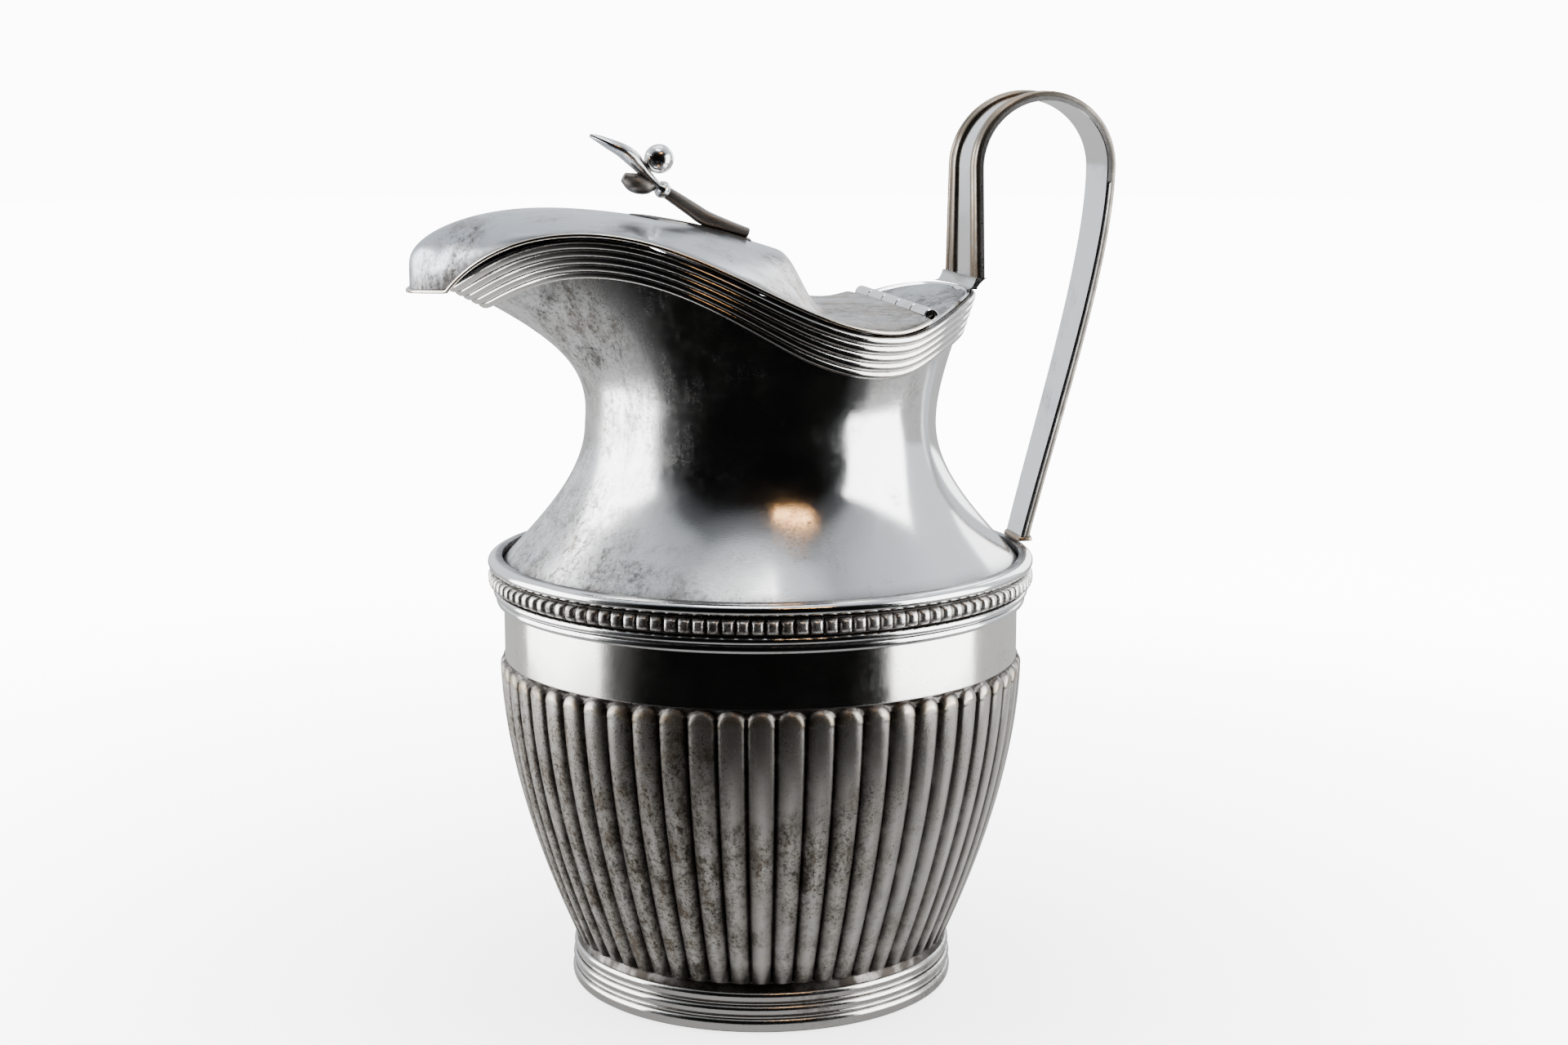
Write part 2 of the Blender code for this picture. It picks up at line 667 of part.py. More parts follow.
def make_thumb_base(parent, origin):
    """A thin leaf-shaped plate that lies on the crown of the dome."""
    loops = []
    for share in (0.0, 0.12, 0.3, 0.5, 0.7, 0.88, 1.0):
        x = THUMB_BASE_BACK_X - THUMB_BASE_LENGTH * share
        half = THUMB_BASE_WIDTH / 2 * (1 - share**2) ** 0.6 + 0.0006
        under = []
        for side in (-1, 0, 1):
            y = half * side
            under.append((x, y, lid_point(x, y / lid_half_width(x))[2] + FIT_GAP))
        over = [(x, y, z + THUMB_BASE_THICKNESS) for x, y, z in reversed(under)]
        loops.append(under + over)
    points, faces = loft(loops, False)
    solid("thumb_base", points, faces, parent, DARK_SILVER, 0.35, origin)


def from_foot(places):
    """Places in the XZ plane, measured from where the arm leaves its base plate."""
    x = THUMB_BASE_BACK_X - THUMB_FOOT_LENGTH
    z = plate_top(x) + FIT_GAP
    return [(x + right, z + up) for right, up in places]


def make_thumb_arm(parent, origin):
    """The foot block lies on the base plate, and the arm curves up and forward from it."""
    lying = []
    depths = [0.0038, 0.0040, 0.0036]
    for share, depth in zip((0.1, 0.45, 0.8), depths):
        x = THUMB_BASE_BACK_X - THUMB_FOOT_LENGTH * share
        lying.append((x, plate_top(x) + 2 * FIT_GAP + depth / 2))
    rising = from_foot([(-0.0014, 0.0026), (-0.0047, 0.0041), (-0.0082, 0.0061), (-0.0114, 0.0086)])
    widths = [0.0084, 0.0080, 0.0074, 0.0066, 0.0060, 0.0056, 0.0054]
    depths += [0.0036, 0.0034, 0.0030, 0.0028]
    points, faces = swept_strip(lying + rising, widths, depths)
    solid("thumb_arm", points, faces, parent, DARK_SILVER, 0.35, origin)


def make_thumb_collar(parent, origin):
    """A short ring between the arm and the stem of the leaf."""
    places = from_foot([(-0.01164, 0.00878), (-0.01230, 0.00930), (-0.01290, 0.00978)])
    points, faces = swept_strip(places, [0.0062, 0.0070, 0.0062], [0.0036, 0.0044, 0.0036])
    solid("thumb_collar", points, faces, parent, SILVER, 0.2, origin)


def make_thumb_leaf(parent, origin):
    """A flat stem behind the ball, opening into the blade that the thumb presses."""
    places = [(-0.01314, 0.00997), (-0.0160, 0.0130), (-0.0181, 0.0153), (-0.0196, 0.0176)]
    places += [(-0.0222, 0.0197), (-0.0250, 0.0212), (-0.0280, 0.0225), (-0.0306, 0.0232)]
    widths = [0.0050, 0.0048, 0.0052, 0.0078, 0.0092, 0.0082, 0.0054, 0.0014]
    depths = [0.0014, 0.0014, 0.0016, 0.0024, 0.0028, 0.0024, 0.0018, 0.0010]
    points, faces = swept_strip(from_foot(places), widths, depths)
    solid("thumb_leaf", points, faces, parent, SILVER, 0.3, origin)


def make_thumb_petal(parent, origin):
    """The short curled tongue below the leaf's stem."""
    places = from_foot([(-0.0158, 0.0104), (-0.0176, 0.0108), (-0.0198, 0.0115), (-0.0216, 0.0126)])
    points, faces = swept_strip(places, [0.0040, 0.0060, 0.0062, 0.0034], [0.0018, 0.0036, 0.0042, 0.0026])
    solid("thumb_petal", points, faces, parent, DARK_SILVER, 0.35, origin)


def make_thumb_ball(parent, origin):
    """A ball soldered to the front of the leaf's stem."""
    x, z = from_foot([(-0.0130, 0.0166)])[0]
    sphere = bmesh.new()
    bmesh.ops.create_uvsphere(sphere, u_segments=16, v_segments=10, radius=THUMB_BALL_RADIUS)
    points = [(v.co.x + x, v.co.y, v.co.z + z) for v in sphere.verts]
    sphere.verts.index_update()
    faces = [tuple(v.index for v in face.verts) for face in sphere.faces]
    sphere.free()
    solid("thumb_ball", points, faces, parent, SILVER, 0.1, origin)


# ---------------------------------------------------------------- handle


SOCKET_TOP = RIM_ROOT + SOCKET_HEIGHT
PAD_BOTTOM = TORUS_TOP + FIT_GAP
STRAP_END_Z = PAD_BOTTOM + FOOT_PAD_HEIGHT + FIT_GAP
STRAP_END_X = MOULDING_INNER + MOULDING_WIDTH - HANDLE_THICKNESS + 0.0008


def handle_line():
    """Inner face of the strap, with its outward normal: up, over the loop and down to the foot."""
    line = []
    for z in np.linspace(SOCKET_TOP + FIT_GAP, LOOP_Z, 4)[:-1]:
        line.append(((LEG_X, z), (-1, 0)))
    for step in range(13):
        turn = math.pi * (1 - step / 12)
        out = (math.cos(turn), math.sin(turn))
        line.append(((LOOP_X + LOOP_RADIUS * out[0], LOOP_Z + LOOP_RADIUS * out[1]), out))
    top = np.array((LOOP_X + LOOP_RADIUS, LOOP_Z))
    end = np.array((STRAP_END_X, STRAP_END_Z))
    drop = top[1] - end[1]
    run = top[0] - end[0]
    lower = (end[0] + 0.35 * run, end[1] + 0.31 * drop)
    for step in range(1, 13):
        place = bezier(top, (top[0], top[1] - 0.25 * drop), lower, end, step / 12)
        before = bezier(top, (top[0], top[1] - 0.25 * drop), lower, end, step / 12 - 0.01)
        way = (place - before) / np.linalg.norm(place - before)
        line.append((tuple(place), (-way[1], way[0])))
    line[-1] = (line[-1][0], (1, 0))
    return line


def handle_widths(line):
    """Widest at the rim, narrower over the loop, slimmest at the foot."""
    places = np.array([place for place, _ in line])
    lengths = np.concatenate(([0], np.cumsum(np.linalg.norm(np.diff(places, axis=0), axis=1))))
    loop_end = LEG_HEIGHT + math.pi * LOOP_RADIUS
    sizes = (HANDLE_WIDTH_ROOT, HANDLE_WIDTH_LOOP, HANDLE_WIDTH_FOOT)
    return np.interp(lengths, (0, loop_end, lengths[-1]), sizes)


def strip_on_handle(low, high, left, right):
    """A strip along the handle between two heights over the inner face and two shares of width."""
    line = handle_line()
    loops = []
    for ((x, z), (out_x, out_z)), width in zip(line, handle_widths(line)):
        corners = ((low, left), (low, right), (high, right), (high, left))
        loops.append([(x + out_x * h, width / 2 * side, z + out_z * h) for h, side in corners])
    return loft(loops, False)


def make_handle(parent):
    points, faces = strip_on_handle(0, STRAP_THICKNESS, -1, 1)
    solid("handle_strap", points, faces, parent, SILVER, 0.2)
    low = STRAP_THICKNESS + FIT_GAP
    inner = 1 - 2 * BORDER_SHARE
    for name, left, right in (("left", inner, 1), ("right", -1, -inner)):
        points, faces = strip_on_handle(low, HANDLE_THICKNESS, left, right)
        solid(f"handle_border_{name}", points, faces, parent, WARM_SILVER, 0.25)


def make_handle_socket(parent):
    """The block that carries the strap on the rim, shaped to the rim's curve below."""
    half = HANDLE_WIDTH_ROOT / 2 + 0.0006
    outer_x = LEG_X + 0.0004
    inner_x = LEG_X - HANDLE_THICKNESS - 0.0004
    loops = []
    for share in (-1, -0.67, -0.33, 0, 0.33, 0.67, 1):
        y = half * share
        rim_x = MOUTH_REAR * math.sqrt(1 - (y / MOUTH_HALF_WIDTH) ** 2)
        low = max(rim_height_at(rim_x), rim_height_at(MOUTH_REAR)) + FIT_GAP
        foot = [(rim_x - SOCKET_FOOT, y, low), (rim_x, y, low)]
        loops.append(foot + [(outer_x, y, SOCKET_TOP), (inner_x, y, SOCKET_TOP)])
    points, faces = loft(loops, False)
    solid("handle_socket", points, faces, parent, WORN_SILVER, 0.3)


def make_handle_foot(parent):
    """The pad under the strap's lower end, on top of the shoulder torus."""
    x = STRAP_END_X + HANDLE_THICKNESS / 2
    half = HANDLE_WIDTH_FOOT / 2
    loops = []
    for z, grow in ((PAD_BOTTOM, 0.0004), (PAD_BOTTOM + FOOT_PAD_HEIGHT, -0.0002)):
        reach = FOOT_PAD_LENGTH / 2 + grow
        side = half + grow
        loops.append([(x - reach, -side, z), (x + reach, -side, z), (x + reach, side, z), (x - reach, side, z)])
    points, faces = loft(loops, False)
    solid("handle_foot", points, faces, parent, WARM_SILVER, 0.4)


def main():
    clear_scene()
    pitcher = empty_at("pitcher", (BODY_X, 0, 0))
    hinge_line = (HINGE_X, 0, HINGE_Z)
    lid = empty_at("lid_axis", hinge_line, pitcher)
    make_foot_ring(pitcher)
    make_base_disc(pitcher)
    make_fluted_bowl(pitcher)
    make_mouldings(pitcher)
    make_upper_body(pitcher)
    make_rim_band(pitcher)
    make_rear_plate(pitcher)
    make_handle_socket(pitcher)
    make_handle(pitcher)
    make_handle_foot(pitcher)
    make_hinge(pitcher, lid)
    make_lid_shell(lid, hinge_line)
    make_lid_wire(lid, hinge_line)
    make_thumb_base(lid, hinge_line)
    make_thumb_arm(lid, hinge_line)
    make_thumb_collar(lid, hinge_line)
    make_thumb_leaf(lid, hinge_line)
    make_thumb_petal(lid, hinge_line)
    make_thumb_ball(lid, hinge_line)


main()
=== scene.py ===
"""A lidded silver pitcher, built over its CAD frame: fine meshes and worn silver finishes.

Metres, +Z up. The spout points along -X and the handle stands at +X. Meshes are laid out from the
turned body's own axis and moved to their place by AXIS.
"""

import math

import bmesh
import bpy
import numpy as np
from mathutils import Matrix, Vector


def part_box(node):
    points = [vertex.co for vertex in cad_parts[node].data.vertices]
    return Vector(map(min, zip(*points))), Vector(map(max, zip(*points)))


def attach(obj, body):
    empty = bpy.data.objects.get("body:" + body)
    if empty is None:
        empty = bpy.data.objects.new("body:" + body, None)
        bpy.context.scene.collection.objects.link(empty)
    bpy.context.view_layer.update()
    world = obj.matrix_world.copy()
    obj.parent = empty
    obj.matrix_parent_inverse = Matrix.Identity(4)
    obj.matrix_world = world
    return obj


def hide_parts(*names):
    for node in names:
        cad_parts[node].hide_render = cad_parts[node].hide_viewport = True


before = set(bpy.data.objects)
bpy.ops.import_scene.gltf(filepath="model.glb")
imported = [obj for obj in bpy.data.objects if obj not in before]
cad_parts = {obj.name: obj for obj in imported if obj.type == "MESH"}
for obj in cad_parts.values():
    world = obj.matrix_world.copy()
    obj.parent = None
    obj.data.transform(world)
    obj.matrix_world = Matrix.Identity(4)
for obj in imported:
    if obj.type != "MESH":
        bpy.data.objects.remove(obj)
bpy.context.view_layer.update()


# ---------------------------------------- camera, floor and light
# The stand: a plain pale floor, tall soft lights at the sides and behind, two overhead, and a small
# warm lamp. The room in front of the pitcher is dark, because polished silver shows what it faces.

foot_low, foot_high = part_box("foot_ring")
AXIS = Vector(((foot_low.x + foot_high.x) / 2, 0, 0))
CAMERA_FROM_AXIS = Vector((-0.14459, -0.65363, 0.2414))
CAMERA_AIM = Vector((0.2214, 0.9591, -0.1763))
FRONT_TURN = -103
FRONT = (-0.225, -0.974, 0)


def look_along(thing, place, target):
    thing.location = place
    thing.rotation_euler = (Vector(target) - Vector(place)).to_track_quat("-Z", "Y").to_euler()


camera_data = bpy.data.cameras.new("camera")
camera_data.lens = 59.6
camera_data.sensor_width = 36
camera_data.clip_start = 0.01
camera = bpy.data.objects.new("camera", camera_data)
bpy.context.scene.collection.objects.link(camera)
camera_place = AXIS + CAMERA_FROM_AXIS
look_along(camera, camera_place, camera_place + CAMERA_AIM)
bpy.context.scene.camera = camera


def soft_light(name, turn, distance, height, width, tall, brightness, colour=(1, 1, 1)):
    """A soft box, turned so many degrees to the right of the pitcher's front, that faces it."""
    lamp = bpy.data.lights.new(name, "AREA")
    lamp.shape = "RECTANGLE"
    lamp.size = width
    lamp.size_y = tall
    lamp.energy = brightness * math.pi * width * tall
    lamp.color = colour
    holder = bpy.data.objects.new(name, lamp)
    holder.visible_camera = False
    bpy.context.scene.collection.objects.link(holder)
    way = math.radians(FRONT_TURN + turn)
    place = AXIS + Vector((distance * math.cos(way), distance * math.sin(way), height))
    look_along(holder, place, (AXIS.x, 0, min(height, 0.2)))


soft_light("right_window", 78, 0.38, 0.20, 0.31, 0.42, 7.0)
soft_light("left_window", -93, 0.40, 0.20, 0.36, 0.40, 7.0)
soft_light("rear_window", 150, 0.70, 0.36, 0.40, 0.50, 3.0)
soft_light("overhead", 200, 0.30, 0.95, 0.60, 0.50, 1.5)
soft_light("skylight", -22, 0.20, 0.95, 0.34, 0.12, 8.0)
soft_light("warm_lamp", 24, 0.62, 0.92, 0.30, 0.08, 9.0, (1.0, 0.52, 0.20))


# Stops of (place, level): from behind to in front for the room and the floor, and by height.
ROOM_SHADES = ((0, 0.95), (0.3, 0.90), (0.5, 0.66), (0.62, 0.42), (0.70, 0.07), (0.80, 0.002))
CLOTH_SHADES = ((0, 0.7), (0.5, 0.62), (0.66, 0.40), (0.74, 0.07), (0.84, 0.003))
CEILING_SHADES = ((0.74, 0), (0.87, 0.14), (0.96, 0.9), (1, 1))
WHITE = 12


def add_node(tree, kind, inputs, operation=None):
    """A node of this kind. Each input gets a value, or the output that feeds it."""
    made = tree.nodes.new("ShaderNode" + kind)
    if operation:
        made.operation = operation
    feed(tree, made, inputs)
    return made


def feed(tree, node, inputs):
    for socket, value in inputs.items():
        if isinstance(value, bpy.types.NodeSocket):
            tree.links.new(value, node.inputs[socket])
        else:
            node.inputs[socket].default_value = value


def shades(tree, stops, share):
    """A grey from a ramp of (place, level) stops, looked up by share."""
    ramp = add_node(tree, "ValToRGB", {"Fac": share})
    ramp.color_ramp.interpolation = "EASE"
    line = ramp.color_ramp.elements
    for (place, level), known in zip((stops[0], stops[-1]), (line[0], line[1])):
        known.position = place
        known.color = (level, level, level, 1)
    for place, level in stops[1:-1]:
        line.new(place).color = (level, level, level, 1)
    return ramp.outputs["Color"]


def share_in_front(tree, direction):
    """A value from 0 straight behind the pitcher to 1 straight in front of it."""
    towards = add_node(tree, "VectorMath", {0: direction, 1: FRONT}, "DOT_PRODUCT")
    halves = {0: towards.outputs["Value"], 1: 0.5, 2: 0.5}
    return add_node(tree, "Math", halves, "MULTIPLY_ADD").outputs["Value"]


def split_rays(tree, mirrored, looked_at, end):
    """Gives one shader to the camera's own rays and the other to every mirrored ray."""
    seen = tree.nodes.new("ShaderNodeLightPath").outputs["Is Camera Ray"]
    mix = add_node(tree, "MixShader", {0: seen, 1: mirrored, 2: looked_at})
    feed(tree, end, {"Surface": mix.outputs["Shader"]})


def make_room():
    """A room that is dark in front, paler behind and overhead, and white where it is looked at."""
    world = bpy.data.worlds.new("room")
    bpy.context.scene.world = world
    world.use_nodes = True
    tree = world.node_tree
    tree.nodes.clear()
    direction = tree.nodes.new("ShaderNodeTexCoord").outputs["Generated"]
    round_about = shades(tree, ROOM_SHADES, share_in_front(tree, direction))
    upward = add_node(tree, "SeparateXYZ", {"Vector": direction}).outputs["Z"]
    overhead = shades(tree, CEILING_SHADES, upward)
    both = add_node(tree, "VectorMath", {0: round_about, 1: overhead}, "MAXIMUM")
    cool = {0: both.outputs["Vector"], 1: (0.95, 1.0, 1.07)}
    tint = add_node(tree, "VectorMath", cool, "MULTIPLY").outputs["Vector"]
    lit = add_node(tree, "Background", {"Color": tint, "Strength": 1.25})
    seen = add_node(tree, "Background", {"Color": (1, 1, 1, 1), "Strength": WHITE})
    end = tree.nodes.new("ShaderNodeOutputWorld")
    split_rays(tree, lit.outputs["Background"], seen.outputs["Background"], end)


make_room()


def make_floor():
    """A wide round floor, its middle just under the foot, that brightens into the distance.

    What the silver mirrors is dimmer, and nearly black in front, where a dark cloth would lie.
    """
    mesh = bpy.data.meshes.new("floor")
    work = bmesh.new()
    bmesh.ops.create_circle(work, cap_ends=True, segments=96, radius=4)
    work.to_mesh(mesh)
    work.free()
    floor = bpy.data.objects.new("floor", mesh)
    floor.location = (AXIS.x, 0, -0.0003)
    bpy.context.scene.collection.objects.link(floor)
    material = bpy.data.materials.new("pale_floor")
    material.use_nodes = True
    tree = material.node_tree
    pale = tree.nodes["Principled BSDF"]
    place = tree.nodes.new("ShaderNodeTexCoord").outputs["Object"]
    away = add_node(tree, "VectorMath", {0: place}, "LENGTH").outputs["Value"]
    brighter = {"From Min": 0.05, "From Max": 0.55, "To Min": 3.2, "To Max": WHITE}
    fade = add_node(tree, "MapRange", {"Value": away, **brighter}).outputs["Result"]
    white = {"Base Color": (0.92, 0.92, 0.92, 1), "Roughness": 0.8}
    feed(tree, pale, {**white, "Emission Color": (1, 1, 1, 1), "Emission Strength": fade})
    way = add_node(tree, "VectorMath", {0: place}, "NORMALIZE").outputs["Vector"]
    cloth = shades(tree, CLOTH_SHADES, share_in_front(tree, way))
    dimmer = {"From Min": 0.11, "From Max": 0.20, "To Min": 0.42, "To Max": 0}
    near = add_node(tree, "MapRange", {"Value": away, **dimmer}).outputs["Result"]
    table = add_node(tree, "Math", {0: cloth, 1: near}, "MAXIMUM").outputs["Value"]
    dim = add_node(tree, "Emission", {"Color": table}).outputs["Emission"]
    split_rays(tree, dim, pale.outputs["BSDF"], tree.nodes["Material Output"])
    mesh.materials.append(material)


make_floor()


# ---------------------------------------- silver finishes
# One recipe for old silver, in six mixtures: how bright, how smooth, how tarnished and how pitted.

PATINA = (0.035, 0.030, 0.026, 1)
PIT = (0.045, 0.040, 0.036, 1)
DARK_TARNISH = (0.055, 0.050, 0.046, 1)
BROWN_TARNISH = (0.17, 0.145, 0.12, 1)


def worn_silver(name, colour, roughness, tarnish, pits, glow=None, matt=0.0):
    """Old silver: bright metal under clouds of tarnish, with fine pits, hairlines and dark grooves.

    A mesh's patina layer darkens what lies deep; on the handle's sides, borders and socket it is
    painted shade. Its rub layer gives what stands proud the glow colour, and its stain layer is
    where it was polished least. There, matt dulls the metal.
    """
    material = bpy.data.materials.new(name)
    material.use_nodes = True
    tree = material.node_tree
    shader = tree.nodes["Principled BSDF"]
    place = tree.nodes.new("ShaderNodeTexCoord").outputs["Object"]

    def noise(scale, detail, rough=0.55, stretch=(1, 1, 1)):
        spread = add_node(tree, "Mapping", {"Vector": place, "Scale": stretch}).outputs["Vector"]
        values = {"Vector": spread, "Scale": scale, "Detail": detail, "Roughness": rough}
        return add_node(tree, "TexNoise", values).outputs["Fac"]

    def remap(value, low, high, to_low=0.0, to_high=1.0):
        values = {"From Min": low, "From Max": high, "To Min": to_low, "To Max": to_high}
        made = add_node(tree, "MapRange", {"Value": value, **values})
        made.interpolation_type = "SMOOTHSTEP"
        return made.outputs["Result"]

    def combine(operation, first, second):
        made = add_node(tree, "Math", {0: first, 1: second}, operation)
        made.use_clamp = True
        return made.outputs["Value"]

    def times(first, second):
        return combine("MULTIPLY", first, second)

    def plus(first, second):
        return combine("ADD", first, second)

    def blend(amount, base, over):
        made = tree.nodes.new("ShaderNodeMix")
        made.data_type = "RGBA"
        feed(tree, made, {"Factor": amount, "A": base, "B": over})
        return made.outputs["Result"]

    def value_of(layer):
        made = tree.nodes.new("ShaderNodeAttribute")
        made.attribute_name = layer
        return made.outputs["Fac"]

    neglect = value_of("stain")
    unpolished = times(neglect, 0.20)
    clouds = remap(plus(noise(34, 6, 0.66), unpolished), 0.52, 0.74)
    patches = times(remap(noise(130, 5, 0.62), 0.44, 0.62), 0.38)
    streaks = times(remap(noise(340, 5, 0.70, (1, 1, 0.14)), 0.46, 0.58), 0.42)
    speckle = times(remap(noise(760, 4, 0.80), 0.49, 0.58), 0.52)
    freckles = remap(noise(1300, 3, 0.65), 0.58, 0.68)
    texture = plus(plus(patches, streaks), speckle)
    stain = times(clouds, plus(texture, 0.08))
    stain = times(stain, tarnish)
    metal = 1
    if matt:
        stain = times(stain, remap(neglect, 0.1, 0.8, 0.3, 1.0))
        metal = remap(neglect, 0.1, 0.8, 1.0, 1.0 - matt)
    spots = times(times(freckles, plus(clouds, 0.12)), pits)
    brown = blend(remap(noise(70, 3), 0.42, 0.62), DARK_TARNISH, BROWN_TARNISH)
    surface = blend(stain, (*colour, 1), brown)
    surface = blend(spots, surface, PIT)
    # Dark patina in hollows, and painted shade where a piece's layer asks for it.
    patina_and_shade = times(value_of("patina_and_shade"), remap(noise(180, 4), 0.25, 0.6, 0.75, 1.0))
    if glow:
        rub = times(value_of("rub"), remap(noise(240, 3), 0.35, 0.6, 0.3, 1.0))
        surface = blend(rub, surface, (*glow, 1))
    surface = blend(patina_and_shade, surface, PATINA)
    haze = plus(times(stain, 0.22), times(patina_and_shade, 0.25))
    haze = plus(haze, times(neglect, 0.05 + 0.4 * matt))
    fine = remap(noise(90, 5), 0.3, 0.7, roughness * 0.8, roughness * 1.25)
    hairlines = noise(900, 2, 0.5, (1, 1, 9))
    relief = combine("SUBTRACT", times(hairlines, 0.25), times(spots, 0.8))
    dents = {"Strength": 0.20, "Distance": 0.0016, "Height": noise(34, 2, 0.4)}
    bump = {"Strength": 0.14, "Distance": 0.0002, "Height": plus(relief, 0.4)}
    bump["Normal"] = add_node(tree, "Bump", dents).outputs["Normal"]
    normal = add_node(tree, "Bump", bump).outputs["Normal"]
    look = {"Base Color": surface, "Metallic": metal, "Roughness": plus(fine, haze)}
    feed(tree, shader, {**look, "Normal": normal})
    return material


satin_silver = worn_silver("satin_silver", (0.84, 0.82, 0.79), 0.11, 0.95, 0.6, (0.62, 0.44, 0.22))
bowl_silver = worn_silver(
    "bowl_silver", (0.92, 0.90, 0.87), 0.11, 1.0, 1.0, (0.55, 0.40, 0.22), matt=0.13
)
mirror_silver = worn_silver("mirror_silver", (0.90, 0.90, 0.90), 0.105, 0.90, 0.40)
lid_silver = worn_silver("lid_silver", (0.52, 0.54, 0.57), 0.20, 1.0, 0.7, (0.30, 0.23, 0.16))
dull_silver = worn_silver("dull_silver", (0.30, 0.28, 0.26), 0.30, 0.8, 0.8)
rubbed_silver = worn_silver("rubbed_silver", (0.50, 0.46, 0.40), 0.18, 0.6, 0.5, (0.42, 0.26, 0.11))


def sheet_faces(rows, columns, closed):
    """The quads of a grid whose rows are closed loops, joined end to end where it is closed."""
    row = np.arange(rows if closed else rows - 1)[:, None]
    column = np.arange(columns)[None, :]
    after = (column + 1) % columns
    up = (row + 1) % rows * columns
    here = row * columns
    return np.stack((here + column, here + after, up + after, up + column), -1).reshape(-1, 4)


def ring_faces(grid):
    """The faces of a grid that is joined round on itself both ways."""
    return sheet_faces(*grid.shape[:2], True)


def capped_faces(grid):
    """The faces of a grid whose rows are closed sections, with a cap on its first and last."""
    rows, columns = grid.shape[:2]
    faces = sheet_faces(rows, columns, False).tolist()
    faces.append(list(range(columns)))
    faces.append(list(range((rows - 1) * columns, rows * columns)))
    return faces


def place_piece(name, points, faces, material, body, layers, sharp=40):
    """A smooth closed mesh that rides with a body and stands for the CAD node of its name."""
    mesh = bpy.data.meshes.new(name + "_fine")
    places = np.asarray(points, float).reshape(-1, 3).tolist()
    mesh.from_pydata(places, [], [list(face) for face in faces])
    for layer in ("patina_and_shade", "rub", "stain"):
        made = mesh.attributes.new(layer, "FLOAT", "POINT")
        if layer in layers:
            made.data.foreach_set("value", np.asarray(layers[layer], np.float32).ravel())
    work = bmesh.new()
    work.from_mesh(mesh)
    bmesh.ops.remove_doubles(work, verts=work.verts, dist=2e-7)
    bmesh.ops.dissolve_degenerate(work, edges=work.edges, dist=1e-7)
    bmesh.ops.recalc_face_normals(work, faces=work.faces)
    if work.calc_volume(signed=True) < 0:
        bmesh.ops.reverse_faces(work, faces=work.faces)
    work.to_mesh(mesh)
    work.free()
    mesh.shade_smooth()
    mesh.set_sharp_from_angle(angle=math.radians(sharp))
    mesh.materials.append(material)
    piece = bpy.data.objects.new(name + "_fine", mesh)
    piece.location = AXIS
    bpy.context.scene.collection.objects.link(piece)
    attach(piece, body)
    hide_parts(name)
    return piece


def turn_profile(profile, columns=240):
    """A grid of points from (radius, height) pairs swung round the axis."""
    angles = np.arange(columns) * math.tau / columns
    pairs = np.array(profile, float)
    grid = np.empty((len(pairs), columns, 3))
    grid[..., 0] = pairs[:, :1] * np.cos(angles)
    grid[..., 1] = pairs[:, :1] * np.sin(angles)
    grid[..., 2] = pairs[:, 1:2]
    return grid


def arc(centre, width, height, start, end, steps):
    """Points of an elliptic arc, in degrees from straight out, for a turned profile."""
    turns = np.radians(np.linspace(start, end, steps))
    return [(centre[0] + width * math.cos(t), centre[1] + height * math.sin(t)) for t in turns]


def turned_piece(name, profile, patina_and_shade, material):
    """A closed ring of the body, with one groove value for each point of its profile."""
    grid = turn_profile(profile)
    columns = grid.shape[1]
    faces = ring_faces(grid)
    place_piece(name, grid, faces, material, "body", {"patina_and_shade": np.repeat(patina_and_shade, columns)})


def reeded_outside(reeds, bottom):
    """Half-round reeds one above another: (radius, half height, bulge) each, with dark joints."""
    steps = 9
    profile = []
    patina_and_shade = []
    height = bottom
    for radius, half, bulge in reeds:
        height += half
        profile += arc((radius - bulge, height), bulge, half, -86, 86, steps)
        patina_and_shade += [0.9, 0.25] + [0.0] * (steps - 4) + [0.25, 0.9]
        height += half
    return profile, patina_and_shade


# ---------------------------------------- foot ring and bottom
# The foot is a reeded strip of silver bent to a ring and soldered under the bowl. The bottom is
# a let-in disc of sheet, dished up so that only the ring touches the table.

FOOT_TOP = foot_high.z
FOOT_RADIUS = (foot_high.x - foot_low.x) / 2
FOOT_WALL = 0.0042
WALL = 0.0010


def make_foot():
    reeds = (
        (FOOT_RADIUS, 0.00165, 0.0008),
        (FOOT_RADIUS - 0.0007, 0.00045, 0.0003),
        (FOOT_RADIUS - 0.0002, 0.00125, 0.0009),
        (FOOT_RADIUS - 0.0011, 0.00040, 0.0003),
        (FOOT_RADIUS - 0.0005, 0.00135, 0.0009),
    )
    outside, patina_and_shade = reeded_outside(reeds, 0.0003)
    bottom_edge = [(FOOT_RADIUS - 0.0012, 0.0)]
    top = [(FOOT_RADIUS - 0.0016, FOOT_TOP - 0.0011), (FOOT_RADIUS - 0.0022, FOOT_TOP)]
    inside = [(FOOT_RADIUS - FOOT_WALL, FOOT_TOP), (FOOT_RADIUS - FOOT_WALL, 0.0)]
    profile = bottom_edge + outside + top + inside
    shade = [0.6] + patina_and_shade + [1.0, 1.0, 0.6, 0.6]
    shade = np.clip(np.array(shade) * 1.1 + 0.12, 0, 1)
    turned_piece("foot_ring", profile, shade, satin_silver)


make_foot()


def make_bottom():
    """A disc that rises to a low crown, with a small flat at its middle on each side."""
    low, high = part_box("base_disc")
    radius = (high.x - low.x) / 2
    crown = high.z - low.z - WALL
    columns = 120
    shares = np.linspace(1, 0.002, 28)
    over = [(radius * s, low.z + WALL + crown * (1 - s * s)) for s in shares]
    under = [(r, z - WALL) for r, z in reversed(over)]
    grid = turn_profile(over + under, columns)
    faces = ring_faces(grid)
    hub = (len(over) - 1) * columns
    middle = hub + columns
    end = middle + columns
    faces = [f for f in faces if not (min(f) >= hub and max(f) < end)]
    faces += [list(range(hub, middle)), list(range(middle, end))]
    layers = {"patina_and_shade": np.full(grid.shape[:2], 0.15)}
    place_piece("base_disc", grid, faces, dull_silver, "body", layers)


make_bottom()


